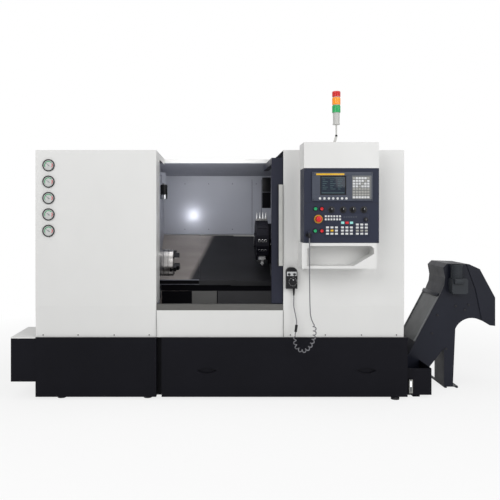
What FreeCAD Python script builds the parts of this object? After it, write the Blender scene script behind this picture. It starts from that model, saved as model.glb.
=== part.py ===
"""A slant-bed turning lathe with a sheet-metal enclosure, an operator pendant and a chip conveyor.

Millimetres. +X runs from the headstock to the conveyor, +Y from the front to the rear, +Z up.
The origin lies on the floor, below the middle of the machine's outer box.
"""

import FreeCAD, Part
import math
import os

from FreeCAD import Vector

# ---------------------------------------------------------------- driving dimensions
# Lengths along X, from the side box to the conveyor's hood.
SIDE_BOX_WIDTH = 180.0
LEFT_COVER_WIDTH = 870.0
OPENING_WIDTH = 915.0
RIGHT_COVER_WIDTH = 870.0
CONVEYOR_REACH = 795.0

# Depths along Y.
PENDANT_REACH = 240.0
ESTOP_REACH = 38.0
HOUSING_DEPTH = 1395.0
CABINET_DEPTH = 230.0

# Heights above the floor.
COVER_TOP = 1800.0
COVER_BEND = 677.0
BASE_TOP = 450.0
SKIRT_BOTTOM = 22.0
SILL_TOP = 689.0
SILL_HEIGHT = 44.0
SILL_GROOVE = 12.0
FOOT_HEIGHT = 60.0

# Flat sides of round forms that carry no fit: small controls, rings and lenses, pulleys and flanges.
SMALL_SIDE_COUNT = 10
RING_SIDE_COUNT = 16
DISC_SIDE_COUNT = 32

# Sheet and plate.
SHEET = 4.0
SKIRT_SHEET = 4.0
COVER_SLOPE_IN = 15.0
GROOVE_WIDTH = 38.0
GROOVE_DEPTH = 12.0
SKIRT_OVERHANG = 25.0
SKIRT_FLANGE = 50.0

# Spindle line and slanted bed.
SPINDLE_SETBACK = 550.0
SPINDLE_HEIGHT = 950.0
SLANT_DEG = 30.0
BED_DROP = 330.0
BED_REAR_GAP = 56.5
BED_FRONT = 62.0
RAIL_HEIGHT = 30.0
RAIL_WIDTH = 55.0
RAIL_NEAR = 120.0
RAIL_FAR_INSET = 85.0
BED_LEFT_INSET = 135.0
BED_RIGHT_INSET = 20.0
RIGHT_PEDESTAL_WIDTH = 75.0
FOOT_INSET = 38.0
FOOT_SETBACK = 70.0
FOOT_NEAR_SETBACK = 20.0
FOOT_PAD_RADIUS = 30.0
SLIDE_GAP = 0.1
RUNNING_GAP = 0.05

# Chuck and spindle.
CHUCK_RADIUS = 105.0
CHUCK_LENGTH = 113.0
CHUCK_BORE_RADIUS = 26.0
FLANGE_LENGTH = 28.0
JAW_LENGTH = 44.0
JAW_WIDTH = 36.0
JAW_STROKE = 4.0
SPINDLE_RADIUS = 55.0
SPINDLE_LENGTH = 520.0
CHAMBER_STEP = 50.0
CHAMBER_STEP_DEPTH = 290.0

# Belt drive.
SPINDLE_PULLEY_RADIUS = 105.0
MOTOR_PULLEY_RADIUS = 70.0
PULLEY_WIDTH = 70.0
BELT_THICKNESS = 6.0
BELT_WIDTH = 60.0
BELT_GAP = 0.4
MOTOR_SETBACK = 295.0
MOTOR_SIZE = 260.0
MOTOR_LENGTH = 340.0
MOTOR_SHAFT_RADIUS = 24.0

# Saddle, cross slide and turret, given at the rest position.
SADDLE_LEFT = 945.0
SADDLE_WIDTH = 290.0
SADDLE_THICKNESS = 55.0
SADDLE_TRAVEL = 450.0
CROSS_RAIL_HEIGHT = 20.0
CROSS_LENGTH = 330.0
CROSS_THICKNESS = 65.0
TURRET_OFFSET = 340.0
TURRET_RADIUS = 165.0
TURRET_THICKNESS = 100.0
TURRET_LEFT = 815.0
TURRET_STATIONS = 12
TOOL_RADIUS = 236.0
SCREW_RADIUS = 16.0
SCREW_BACK = 400.0
GUARD_DROP = 234.0
GUARD_PLATE = 3.0
GUARD_STEP = 7.0
GUARD_WIPER = 14.0
GUARD_LENGTH = 340.0
GUARD_LIP = 40.0
GUARD_NEAR = 94.0
GUARD_OVERHANG = 80.0

# Sliding door.
DOOR_SETBACK = 20.0
DOOR_THICKNESS = 32.0
DOOR_COLUMN_WIDTH = 85.0
DOOR_OVERLAP = 17.0
DOOR_BOTTOM_GAP = 4.0
DOOR_TOP = 1746.0
DOOR_RAIL_HEIGHT = 90.0
DOOR_ROOF_DEPTH = 780.0
DOOR_ROOF_THICKNESS = 11.0
DOOR_GLASS = 8.0
HANDLE_HEIGHT = 583.0
HANDLE_BOTTOM = 967.0
HANDLE_WIDTH = 30.0
HANDLE_STANDOFF = 38.0

# Roof and rear.
ROOF_SETBACK = 800.0
ROOF_LIP = 31.0
REAR_WALL_GAP = 20.0

# Pendant.
PENDANT_LEFT = 117.0
PENDANT_WIDTH = 513.0
PENDANT_CAP = 178.0
PANEL_TOP = 1653.0
PANEL_HEIGHT = 513.0
LOWER_BOX_HEIGHT = 175.0
LOWER_BOX_SHIFT = 14.0
POCKET_DEPTH = 150.0
PENDANT_BACK = 40.0
PANEL_PLATE = 4.0
BUTTON_RADIUS = 11.0
BUTTON_REACH = 12.0
BUTTON_TRAVEL = 4.0
BUTTON_GAP = 0.5
KNOB_RADIUS = 15.0
KNOB_REACH = 22.0
KNOB_SPINDLE_RADIUS = 4.0
ESTOP_RADIUS = 20.0
ESTOP_STEM_RADIUS = 12.0
ESTOP_RING_RADIUS = 29.0
ESTOP_TRAVEL = 6.0

# Handset.
HANDSET_WIDTH = 80.0
HANDSET_HEIGHT = 151.0
HANDSET_DEPTH = 45.0
HANDSET_LEFT = 16.0
HANDSET_BOTTOM = 806.0
HANDWHEEL_RADIUS = 25.0
HANDWHEEL_THICKNESS = 14.0

# Signal tower.
TOWER_LENS_RADIUS = 29.0
TOWER_LENS_HEIGHT = 52.0
TOWER_BASE_HEIGHT = 80.0
TOWER_POLE_HEIGHT = 80.0
TOWER_POLE_RADIUS = 9.0
TOWER_PLACE = 237.0
TOWER_BRACKET_HEIGHT = 50.0

# Pressure gauges.
GAUGE_COUNT = 5
GAUGE_RADIUS = 44.0
GAUGE_BODY_RADIUS = 36.0
GAUGE_SPACING = 118.0
GAUGE_TOP = 1690.0
GAUGE_INSET = 95.0
GAUGE_REACH = 12.0

# Chip conveyor.
CONVEYOR_SETBACK = 340.0
CONVEYOR_WIDTH = 380.0
CONVEYOR_WALL = 4.0
CONVEYOR_ANGLE_DEG = 62.0
CONVEYOR_FLOOR_GAP = 45.0
CONVEYOR_RUN_HEIGHT = 150.0
CONVEYOR_TOP = 962.0

# Tank and side box.
TANK_HEIGHT = 215.0
TANK_REACH = 215.0
TANK_SETBACK = 55.0
TANK_DEPTH = 695.0
SIDE_BOX_BOTTOM = 130.0
SIDE_BOX_DEPTH = 450.0
LID_THICKNESS = 8.0

# ---------------------------------------------------------------- places that follow from them
OVERALL_LENGTH = SIDE_BOX_WIDTH + LEFT_COVER_WIDTH + OPENING_WIDTH + RIGHT_COVER_WIDTH + CONVEYOR_REACH
X_END_LEFT = -OVERALL_LENGTH / 2
X_LEFT = X_END_LEFT + SIDE_BOX_WIDTH
X_OPEN_LEFT = X_LEFT + LEFT_COVER_WIDTH
X_OPEN_RIGHT = X_OPEN_LEFT + OPENING_WIDTH
X_RIGHT = X_OPEN_RIGHT + RIGHT_COVER_WIDTH
X_END_RIGHT = X_RIGHT + CONVEYOR_REACH

OVERALL_DEPTH = PENDANT_REACH + ESTOP_REACH + HOUSING_DEPTH + CABINET_DEPTH
Y_FRONT = -OVERALL_DEPTH / 2 + PENDANT_REACH + ESTOP_REACH
Y_REAR = Y_FRONT + HOUSING_DEPTH
Y_CABINET = Y_REAR + CABINET_DEPTH
Y_PENDANT = Y_FRONT - PENDANT_REACH

X_CHAMBER = X_OPEN_LEFT - CHAMBER_STEP
Y_SPINDLE = Y_FRONT + SPINDLE_SETBACK
SLANT = math.radians(SLANT_DEG)
BED_LEFT = X_LEFT + BED_LEFT_INSET
BED_RIGHT = X_RIGHT - BED_RIGHT_INSET
X_SADDLE = X_CHAMBER + SADDLE_LEFT
X_TURRET = X_CHAMBER + TURRET_LEFT
X_PENDANT = X_OPEN_RIGHT + PENDANT_LEFT
PENDANT_TOP = PANEL_TOP + PENDANT_CAP
PANEL_BOTTOM = PANEL_TOP - PANEL_HEIGHT
LOWER_BOX_BOTTOM = PANEL_BOTTOM - LOWER_BOX_HEIGHT
BED_REACH = (Y_REAR - BED_REAR_GAP - Y_SPINDLE - BED_DROP * math.sin(SLANT)) / math.cos(SLANT)
RAIL_FAR = BED_REACH - RAIL_FAR_INSET
GUARD_FAR = BED_REACH + GUARD_OVERHANG

NODES = {}


# ---------------------------------------------------------------- helpers
def box(x0, x1, y0, y1, z0, z1):
    """A block between two corners."""
    return Part.makeBox(x1 - x0, y1 - y0, z1 - z0, Vector(x0, y0, z0))


def rod(start, reach, radius, sides=0):
    """A bar from a point along a vector: round, or with flat sides whose corners lie on the radius."""
    if not sides:
        return Part.makeCylinder(radius, reach.Length, start, reach)
    circle = Part.makeCircle(radius, start, reach)
    corners = [circle.valueAt(2 * math.pi * index / sides) for index in range(sides)]
    return Part.Face(Part.makePolygon(corners + corners[:1])).extrude(reach)


def tapered(start, reach, radius, end_radius, sides):
    """A tapered bar with flat sides, from a point along a vector."""
    rings = []
    for place, size in ((start, radius), (start + reach, end_radius)):
        circle = Part.makeCircle(size, place, reach)
        rings.append([circle.valueAt(2 * math.pi * index / sides) for index in range(sides)])
    foot, head = rings
    outlines = [foot, head]
    for index in range(sides):
        after = (index + 1) % sides
        outlines.append([foot[index], foot[after], head[after], head[index]])
    faces = [Part.Face(Part.makePolygon(outline + outline[:1])) for outline in outlines]
    solid = Part.makeSolid(Part.makeShell(faces))
    if solid.Volume < 0:
        solid.reverse()
    return solid


def rod_x(x0, x1, y, z, radius, sides=0):
    """A bar along X."""
    return rod(Vector(x0, y, z), Vector(x1 - x0, 0, 0), radius, sides)


def rod_y(x, y0, y1, z, radius, sides=0):
    """A bar along Y."""
    return rod(Vector(x, y0, z), Vector(0, y1 - y0, 0), radius, sides)


def rod_z(x, y, z0, z1, radius, sides=0):
    """A bar along Z."""
    return rod(Vector(x, y, z0), Vector(0, 0, z1 - z0), radius, sides)


def prism_x(section, x0, x1):
    """A closed outline of (y, z) points, extruded along X."""
    points = [Vector(x0, y, z) for y, z in section]
    return Part.Face(Part.makePolygon(points + points[:1])).extrude(Vector(x1 - x0, 0, 0))


def prism_y(section, y0, y1):
    """A closed outline of (x, z) points, extruded along Y."""
    points = [Vector(x, y0, z) for x, z in section]
    return Part.Face(Part.makePolygon(points + points[:1])).extrude(Vector(0, y1 - y0, 0))


def offset_line(line, thickness):
    """The points of an open line, moved to its left by a thickness, with mitred corners."""
    moved = []
    for index, (u, v) in enumerate(line):
        before = line[max(index - 1, 0)]
        after = line[min(index + 1, len(line) - 1)]
        into = unit(u - before[0], v - before[1]) if index > 0 else unit(after[0] - u, after[1] - v)
        out = unit(after[0] - u, after[1] - v) if index < len(line) - 1 else into
        bisector = unit(-into[1] - out[1], into[0] + out[0])
        stretch = thickness / (bisector[0] * -into[1] + bisector[1] * into[0])
        moved.append((u + bisector[0] * stretch, v + bisector[1] * stretch))
    return moved


def unit(u, v):
    """A direction of length one."""
    length = math.hypot(u, v)
    return (u / length, v / length)


def folded(line, thickness):
    """The closed outline of a sheet folded along a line."""
    return list(line) + offset_line(line, thickness)[::-1]


def slanted(along, above):
    """A (y, z) point given in the bed's slanted frame, whose zero is the spindle axis."""
    y = Y_SPINDLE + along * math.cos(SLANT) - above * math.sin(SLANT)
    z = SPINDLE_HEIGHT + along * math.sin(SLANT) + above * math.cos(SLANT)
    return (y, z)


def slant_block(x0, x1, along0, along1, above0, above1):
    """A block that lies square to the slanted bed."""
    corners = [(along0, above0), (along1, above0), (along1, above1), (along0, above1)]
    return prism_x([slanted(along, above) for along, above in corners], x0, x1)


def cut_all(shape, tools):
    """A shape with a list of shapes taken out."""
    return shape.cut(tools) if tools else shape


def joined(shapes):
    """Shapes that touch, made one."""
    whole = shapes[0].fuse(shapes[1:]) if len(shapes) > 1 else shapes[0]
    return whole.removeSplitter()


def keep(name, shape):
    """Store a piece under its node's name."""
    NODES[name] = shape


# ---------------------------------------------------------------- castings and feet
PEDESTAL_TOP = BASE_TOP - SKIRT_SHEET
PEDESTAL_FRONT = Y_FRONT + 8
BED_FRONT_FACE = slanted(BED_FRONT, -BED_DROP)[0]
BED_REAR_FACE = slanted(BED_REACH, -BED_DROP)[0]
LEFT_PEDESTAL_RIGHT = X_CHAMBER + 20
RIGHT_PEDESTAL_LEFT = BED_RIGHT - RIGHT_PEDESTAL_WIDTH
TANK_FRONT = Y_FRONT + TANK_SETBACK
TANK_BACK = TANK_FRONT + TANK_DEPTH
CONVEYOR_FRONT = Y_FRONT + CONVEYOR_SETBACK
CONVEYOR_BACK = CONVEYOR_FRONT + CONVEYOR_WIDTH
SCREW_Y, SCREW_Z = slanted(SCREW_BACK, -BED_DROP + SCREW_RADIUS + 2)
SCREW_BLOCK = 30.0
SCREW_RIGHT = BED_RIGHT - 150


def bed_casting():
    """The slanted bed with its two box ways, its pedestals and the tunnel for the conveyor."""
    section = [
        (BED_FRONT_FACE, FOOT_HEIGHT),
        (BED_REAR_FACE, FOOT_HEIGHT),
        slanted(BED_REACH, -BED_DROP),
        slanted(BED_FRONT, -BED_DROP),
    ]
    bed = prism_x(section, BED_LEFT, BED_RIGHT)
    left = box(BED_LEFT, LEFT_PEDESTAL_RIGHT, PEDESTAL_FRONT, BED_FRONT_FACE, FOOT_HEIGHT, PEDESTAL_TOP)
    right = box(RIGHT_PEDESTAL_LEFT, BED_RIGHT, PEDESTAL_FRONT, BED_FRONT_FACE, FOOT_HEIGHT, PEDESTAL_TOP)
    ways = []
    for near in (RAIL_NEAR, RAIL_FAR):
        top = -BED_DROP + RAIL_HEIGHT
        ways.append(slant_block(X_CHAMBER, BED_RIGHT, near, near + RAIL_WIDTH, -BED_DROP, top))
    bearings = []
    for x in (X_CHAMBER, SCREW_RIGHT):
        foot = SCREW_BACK - 2 * SCREW_RADIUS
        head = SCREW_BACK + 2 * SCREW_RADIUS
        top = -BED_DROP + RAIL_HEIGHT + 8
        bearings.append(slant_block(x, x + SCREW_BLOCK, foot, head, -BED_DROP, top))
    whole = joined([bed, left, right] + ways + bearings)
    tunnel = box(
        RIGHT_PEDESTAL_LEFT - 1,
        BED_RIGHT + 1,
        TANK_FRONT - 5,
        TANK_BACK + 5,
        FOOT_HEIGHT - 1,
        TANK_HEIGHT + 20,
    )
    screw_end = SCREW_RIGHT + SCREW_BLOCK + 1
    screw_bore = rod_x(X_CHAMBER - 1, screw_end, SCREW_Y, SCREW_Z, SCREW_RADIUS + RUNNING_GAP)
    return cut_all(whole, [tunnel, screw_bore] + bed_pockets())


def bed_pockets():
    """Core pockets under the bed, with ribs left between them."""
    rib = 60.0
    wall = 45.0
    count = 4
    pitch = (BED_RIGHT - BED_LEFT - 2 * wall + rib) / count
    pockets = []
    for index in range(count):
        x0 = BED_LEFT + wall + index * pitch
        section = [
            (BED_FRONT_FACE + wall, FOOT_HEIGHT - 1),
            (BED_REAR_FACE - wall, FOOT_HEIGHT - 1),
            (BED_REAR_FACE - wall, BASE_TOP + 2 * wall),
            (BED_FRONT_FACE + wall, BASE_TOP),
        ]
        pockets.append(prism_x(section, x0, x0 + pitch - rib))
    return pockets


def levelling_feet():
    """Six levelling pads with their screws, under the pedestals and the bed's rear edge."""
    pad_height = 18.0
    screw_radius = 15.0
    front = PEDESTAL_FRONT + FOOT_SETBACK
    rear = BED_REAR_FACE - FOOT_SETBACK
    places = [
        (BED_LEFT + FOOT_INSET, front),
        (LEFT_PEDESTAL_RIGHT - FOOT_INSET, front),
        (BED_RIGHT - FOOT_INSET, PEDESTAL_FRONT + FOOT_NEAR_SETBACK),
        (BED_LEFT + FOOT_INSET, rear),
        ((BED_LEFT + BED_RIGHT) / 2, rear),
        (BED_RIGHT - FOOT_INSET, rear),
    ]
    feet = []
    for x, y in places:
        pad = rod_z(x, y, 0, pad_height, FOOT_PAD_RADIUS, SMALL_SIDE_COUNT)
        screw = rod_z(x, y, pad_height, FOOT_HEIGHT, screw_radius, 6)
        feet.append(joined([pad, screw]))
    return Part.makeCompound(feet)


HEADSTOCK_RIGHT = X_CHAMBER - 8
HEADSTOCK_LENGTH = 400.0
HEADSTOCK_LEFT = HEADSTOCK_RIGHT - HEADSTOCK_LENGTH
HEADSTOCK_HALF = 145.0


def headstock():
    """The spindle's casting: a block about the spindle with a foot along the slanted bed."""
    section = [
        (-HEADSTOCK_HALF, -HEADSTOCK_HALF),
        (BED_FRONT, -BED_DROP),
        (BED_REACH - 160, -BED_DROP),
        (BED_REACH - 160, -BED_DROP + 70),
        (HEADSTOCK_HALF + 40, HEADSTOCK_HALF - 60),
        (HEADSTOCK_HALF, HEADSTOCK_HALF),
        (-HEADSTOCK_HALF, HEADSTOCK_HALF),
    ]
    block = prism_x([slanted(along, above) for along, above in section], HEADSTOCK_LEFT, HEADSTOCK_RIGHT)
    bore = rod_x(
        HEADSTOCK_LEFT - 1, HEADSTOCK_RIGHT + 1, Y_SPINDLE, SPINDLE_HEIGHT, SPINDLE_RADIUS + RUNNING_GAP
    )
    return block.cut(bore)


# ---------------------------------------------------------------- spindle, chuck and belt drive
FLANGE_LEFT = X_CHAMBER + 3
CHUCK_LEFT = FLANGE_LEFT + FLANGE_LENGTH
CHUCK_RIGHT = CHUCK_LEFT + CHUCK_LENGTH
SPINDLE_LEFT = FLANGE_LEFT - SPINDLE_LENGTH
PULLEY_LEFT = HEADSTOCK_LEFT - PULLEY_WIDTH - 15
Y_MOTOR = Y_FRONT + MOTOR_SETBACK
Z_MOTOR = PEDESTAL_TOP + MOTOR_SIZE / 2 + 10


def spindle():
    """The hollow spindle, with its nose flange and the belt pulley at its rear end."""
    shaft = rod_x(SPINDLE_LEFT, FLANGE_LEFT, Y_SPINDLE, SPINDLE_HEIGHT, SPINDLE_RADIUS)
    nose = rod_x(FLANGE_LEFT, CHUCK_LEFT, Y_SPINDLE, SPINDLE_HEIGHT, CHUCK_RADIUS - 8, DISC_SIDE_COUNT)
    pulley_right = PULLEY_LEFT + PULLEY_WIDTH
    radius = SPINDLE_PULLEY_RADIUS
    pulley = rod_x(PULLEY_LEFT, pulley_right, Y_SPINDLE, SPINDLE_HEIGHT, radius, DISC_SIDE_COUNT)
    bore = rod_x(SPINDLE_LEFT - 1, CHUCK_LEFT + 1, Y_SPINDLE, SPINDLE_HEIGHT, CHUCK_BORE_RADIUS)
    return joined([shaft, nose, pulley]).cut(bore)


def about_spindle(shape, degrees):
    """A copy turned about the spindle axis."""
    turned = shape.copy()
    turned.rotate(Vector(0, Y_SPINDLE, SPINDLE_HEIGHT), Vector(1, 0, 0), degrees)
    return turned


JAW_GAP = 0.3
JAW_FOOT = 16.0
JAW_INNER = 42.0
JAW_OUTER = 98.0


def jaw_slot():
    """The T-shaped slot of the chuck's top station, open at the chuck's rim."""
    half = JAW_WIDTH / 4 + JAW_GAP
    wide = JAW_WIDTH / 2 + JAW_GAP
    floor = CHUCK_RIGHT - JAW_FOOT - 12
    top = SPINDLE_HEIGHT + CHUCK_RADIUS + 10
    bottom = SPINDLE_HEIGHT + JAW_INNER - JAW_STROKE - 2
    neck = box(floor + 14, CHUCK_RIGHT + 1, Y_SPINDLE - half, Y_SPINDLE + half, bottom, top)
    key = box(floor, floor + 14 + JAW_GAP, Y_SPINDLE - wide, Y_SPINDLE + wide, bottom, top)
    return neck.fuse(key)


def chuck_body():
    """The power chuck's body, with three jaw slots, a through bore and a turned front edge."""
    body = rod_x(CHUCK_LEFT, CHUCK_RIGHT, Y_SPINDLE, SPINDLE_HEIGHT, CHUCK_RADIUS)
    rim = [edge for edge in body.Edges if edge.CenterOfMass.x > CHUCK_RIGHT - 1 and not along_x(edge)]
    body = body.makeChamfer(4, rim)
    bore = rod_x(CHUCK_LEFT - 1, CHUCK_RIGHT + 1, Y_SPINDLE, SPINDLE_HEIGHT, CHUCK_BORE_RADIUS)
    slots = [about_spindle(jaw_slot(), 120 * index) for index in range(3)]
    return cut_all(body, [bore] + slots)


def chuck_jaw(index):
    """One jaw: a T-foot in its slot and a stepped top that reaches past the chuck's face."""
    half = JAW_WIDTH / 4
    wide = JAW_WIDTH / 2
    low = SPINDLE_HEIGHT + JAW_INNER
    high = SPINDLE_HEIGHT + JAW_OUTER
    floor = CHUCK_RIGHT - JAW_FOOT - 12 + JAW_GAP
    key = box(floor, floor + 14 - JAW_GAP, Y_SPINDLE - wide, Y_SPINDLE + wide, low, high)
    neck = box(floor + 5, CHUCK_RIGHT + 2, Y_SPINDLE - half, Y_SPINDLE + half, low, high)
    face = CHUCK_RIGHT + JAW_GAP
    step = face + JAW_LENGTH / 2
    base = box(face, step, Y_SPINDLE - wide, Y_SPINDLE + wide, low, high)
    top = box(step, face + JAW_LENGTH, Y_SPINDLE - wide, Y_SPINDLE + wide, low, high - 20)
    return about_spindle(joined([key, neck, base, top]), 120 * index)


def spindle_motor():
    """The foot-mounted spindle motor, with its finned body and its terminal box."""
    half = MOTOR_SIZE / 2
    x0 = PULLEY_LEFT + PULLEY_WIDTH + 25
    x1 = x0 + MOTOR_LENGTH
    body = box(x0 + 20, x1, Y_MOTOR - half, Y_MOTOR + half, Z_MOTOR - half, Z_MOTOR + half)
    uprights = [edge for edge in body.Edges if abs(edge.tangentAt(edge.FirstParameter).x) > 0.9]
    body = body.makeChamfer(28, uprights)
    plate = box(x0, x0 + 20, Y_MOTOR - half, Y_MOTOR + half, Z_MOTOR - half, Z_MOTOR + half)
    foot = box(x0 + 40, x1 - 40, Y_MOTOR - half, Y_MOTOR + half, PEDESTAL_TOP, Z_MOTOR - half + 30)
    terminal = box(x0 + 90, x0 + 210, Y_MOTOR - 60, Y_MOTOR + 60, Z_MOTOR + half, Z_MOTOR + half + 50)
    bore = rod_x(x0 - 1, x0 + 120, Y_MOTOR, Z_MOTOR, MOTOR_SHAFT_RADIUS + RUNNING_GAP)
    fins = []
    for index in range(6):
        z = Z_MOTOR - half + 40 + index * (MOTOR_SIZE - 80) / 5
        fins.append(box(x0 + 60, x1 - 30, Y_MOTOR - half - 1, Y_MOTOR - half + 8, z - 8, z + 8))
    return cut_all(joined([plate, body, foot, terminal]), fins + [bore])


def motor_pulley():
    """The motor's shaft with its flanged belt pulley."""
    shaft_end = PULLEY_LEFT + PULLEY_WIDTH + 25 + 110
    shaft = rod_x(PULLEY_LEFT - 8, shaft_end, Y_MOTOR, Z_MOTOR, MOTOR_SHAFT_RADIUS)
    pulley_right = PULLEY_LEFT + PULLEY_WIDTH
    pulley = rod_x(PULLEY_LEFT, pulley_right, Y_MOTOR, Z_MOTOR, MOTOR_PULLEY_RADIUS, DISC_SIDE_COUNT)
    return joined([shaft, pulley])


def belt_band(extra):
    """The solid band round both pulleys, a given distance outside them."""
    big = SPINDLE_PULLEY_RADIUS + extra
    small = MOTOR_PULLEY_RADIUS + extra
    dy = Y_MOTOR - Y_SPINDLE
    dz = Z_MOTOR - SPINDLE_HEIGHT
    reach = math.hypot(dy, dz)
    lean = math.acos((big - small) / reach)
    heading = math.atan2(dz, dy)
    x0 = PULLEY_LEFT + (PULLEY_WIDTH - BELT_WIDTH) / 2

    def rim(y, z, radius, angle):
        return Vector(x0, y + radius * math.cos(angle), z + radius * math.sin(angle))

    upper = heading + lean
    lower = heading - lean
    big_up = rim(Y_SPINDLE, SPINDLE_HEIGHT, big, upper)
    big_far = rim(Y_SPINDLE, SPINDLE_HEIGHT, big, heading + math.pi)
    big_low = rim(Y_SPINDLE, SPINDLE_HEIGHT, big, lower)
    small_up = rim(Y_MOTOR, Z_MOTOR, small, upper)
    small_far = rim(Y_MOTOR, Z_MOTOR, small, heading)
    small_low = rim(Y_MOTOR, Z_MOTOR, small, lower)
    edges = [
        Part.Arc(big_up, big_far, big_low).toShape(),
        Part.LineSegment(big_low, small_low).toShape(),
        Part.Arc(small_low, small_far, small_up).toShape(),
        Part.LineSegment(small_up, big_up).toShape(),
    ]
    return Part.Face(Part.Wire(edges)).extrude(Vector(BELT_WIDTH, 0, 0))


def drive_belt():
    """The belt's closed loop round both pulleys."""
    return belt_band(BELT_GAP + BELT_THICKNESS).cut(belt_band(BELT_GAP))


# ---------------------------------------------------------------- saddle, cross slide and turret
WAY_TOP = -BED_DROP + RAIL_HEIGHT
SADDLE_BOTTOM = WAY_TOP + SLIDE_GAP
SADDLE_TOP = SADDLE_BOTTOM + SADDLE_THICKNESS
CROSS_RAIL_TOP = SADDLE_TOP + CROSS_RAIL_HEIGHT
CROSS_BOTTOM = CROSS_RAIL_TOP + SLIDE_GAP
CROSS_TOP = CROSS_BOTTOM + CROSS_THICKNESS
CROSS_NEAR = TURRET_OFFSET - CROSS_LENGTH / 2
HOUSING_LEFT = X_TURRET + TURRET_THICKNESS + 6
HOUSING_RIGHT = HOUSING_LEFT + 250
TURRET_SHAFT_RADIUS = 50.0


def saddle():
    """The saddle: a plate with lips round the box ways, cross rails and the ball nut's block."""
    x1 = X_SADDLE + SADDLE_WIDTH
    far = RAIL_FAR + RAIL_WIDTH
    lip = 24.0
    plate = slant_block(X_SADDLE, x1, RAIL_NEAR - lip, far + lip, SADDLE_BOTTOM, SADDLE_TOP)
    lip_low = WAY_TOP - RAIL_HEIGHT + 5
    near_lip = slant_block(X_SADDLE, x1, RAIL_NEAR - lip, RAIL_NEAR - SLIDE_GAP, lip_low, SADDLE_BOTTOM)
    far_lip = slant_block(X_SADDLE, x1, far + SLIDE_GAP, far + lip, lip_low, SADDLE_BOTTOM)
    nut = slant_block(
        X_SADDLE + 90,
        X_SADDLE + 200,
        SCREW_BACK - 30,
        SCREW_BACK + 30,
        -BED_DROP + 1,
        SADDLE_BOTTOM,
    )
    rails = []
    for x in (X_SADDLE + 30, x1 - 60):
        rails.append(slant_block(x, x + 30, RAIL_NEAR, far, SADDLE_TOP, CROSS_RAIL_TOP))
    whole = joined([plate, near_lip, far_lip, nut] + rails)
    bore = rod_x(X_SADDLE, x1, SCREW_Y, SCREW_Z, SCREW_RADIUS + RUNNING_GAP)
    return whole.cut(bore)


def way_guard(left, level):
    """One plate of the telescopic guard, with its front lip and a wiper for the plate below it."""
    y0, z0 = slanted(GUARD_NEAR, -GUARD_DROP - level * GUARD_STEP)
    y1, z1 = slanted(GUARD_FAR, -GUARD_DROP - level * GUARD_STEP)
    line = [(y0, z0 - GUARD_LIP), (y0, z0), (y1, z1)]
    plate = prism_x(folded(line, -GUARD_PLATE), left, left + GUARD_LENGTH)
    if level == 2:
        return plate
    under = -GUARD_DROP - level * GUARD_STEP - GUARD_PLATE
    right = left + GUARD_LENGTH
    wiper = slant_block(
        right - GUARD_WIPER,
        right,
        GUARD_NEAR + 4 * GUARD_STEP,
        GUARD_FAR - GUARD_STEP,
        under - GUARD_STEP + GUARD_PLATE + SLIDE_GAP,
        under,
    )
    return plate.fuse(wiper)


def cross_slide():
    """The cross slide: a plate that spans both cross rails, with a gib lip at each side."""
    x0 = X_SADDLE + 20
    x1 = X_SADDLE + SADDLE_WIDTH - 50
    far = CROSS_NEAR + CROSS_LENGTH
    plate = slant_block(x0, x1 + 30, CROSS_NEAR, far, CROSS_BOTTOM, CROSS_TOP)
    tongue = slant_block(
        X_SADDLE + 60 + SLIDE_GAP,
        x1 - 10 - SLIDE_GAP,
        CROSS_NEAR,
        far,
        SADDLE_TOP + 2,
        CROSS_BOTTOM,
    )
    return joined([plate, tongue])


def turret_housing():
    """The turret's indexing housing on the cross slide, with its servo motor behind."""
    half = 115.0
    low = TURRET_OFFSET - half
    high = TURRET_OFFSET + half
    block = slant_block(HOUSING_LEFT, HOUSING_RIGHT, low, high, CROSS_TOP, half)
    edges = [edge for edge in block.Edges if along_x(edge) and above_spindle(edge) > 0]
    block = block.makeChamfer(35, edges)
    motor = slant_block(HOUSING_LEFT + 90, HOUSING_RIGHT - 20, high, high + 90, -60, 60)
    y, z = slanted(TURRET_OFFSET, 0)
    bore = rod_x(HOUSING_LEFT - 1, HOUSING_LEFT + 120, y, z, TURRET_SHAFT_RADIUS + RUNNING_GAP)
    return joined([block, motor]).cut(bore)


def along_x(edge):
    """Whether an edge runs along X."""
    return abs(edge.tangentAt(edge.FirstParameter).x) > 0.9


def above_spindle(edge):
    """How far an edge's middle lies above the spindle, square to the slant."""
    middle = edge.CenterOfMass
    dy = middle.y - Y_SPINDLE
    dz = middle.z - SPINDLE_HEIGHT
    return -dy * math.sin(SLANT) + dz * math.cos(SLANT)


def turret_point(radius, degrees):
    """A (y, z) point about the turret's axis."""
    y, z = slanted(TURRET_OFFSET, 0)
    angle = math.radians(degrees)
    return (y + radius * math.cos(angle), z + radius * math.sin(angle))


def turret_disc():
    """The twelve-sided turret drum, with its hub shaft and a milled seat on each free flat."""
    step = 360.0 / TURRET_STATIONS
    corner = TURRET_RADIUS / math.cos(math.radians(step / 2))
    corners = [turret_point(corner, step * (index + 0.5)) for index in range(TURRET_STATIONS)]
    drum = prism_x(corners, X_TURRET, X_TURRET + TURRET_THICKNESS)
    y, z = slanted(TURRET_OFFSET, 0)
    hub = rod_x(X_TURRET - 12, X_TURRET, y, z, 60, RING_SIDE_COUNT)
    shaft = rod_x(X_TURRET + TURRET_THICKNESS, HOUSING_LEFT + 100, y, z, TURRET_SHAFT_RADIUS)
    used = [round(angle / step) for angle in TOOL_ANGLES + (TIP_ANGLE,)]
    free = [index for index in range(TURRET_STATIONS) if index not in used]
    seats = []
    for index in free:
        seat = box(
            X_TURRET + SEAT_INSET,
            X_TURRET + TURRET_THICKNESS - SEAT_INSET,
            -SEAT_WIDTH / 2,
            SEAT_WIDTH / 2,
            TURRET_RADIUS - SEAT_DEPTH,
            TURRET_RADIUS + 1,
        )
        seats.append(at_station(seat, step * index))
    return cut_all(joined([drum, hub, shaft]), seats)


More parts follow.
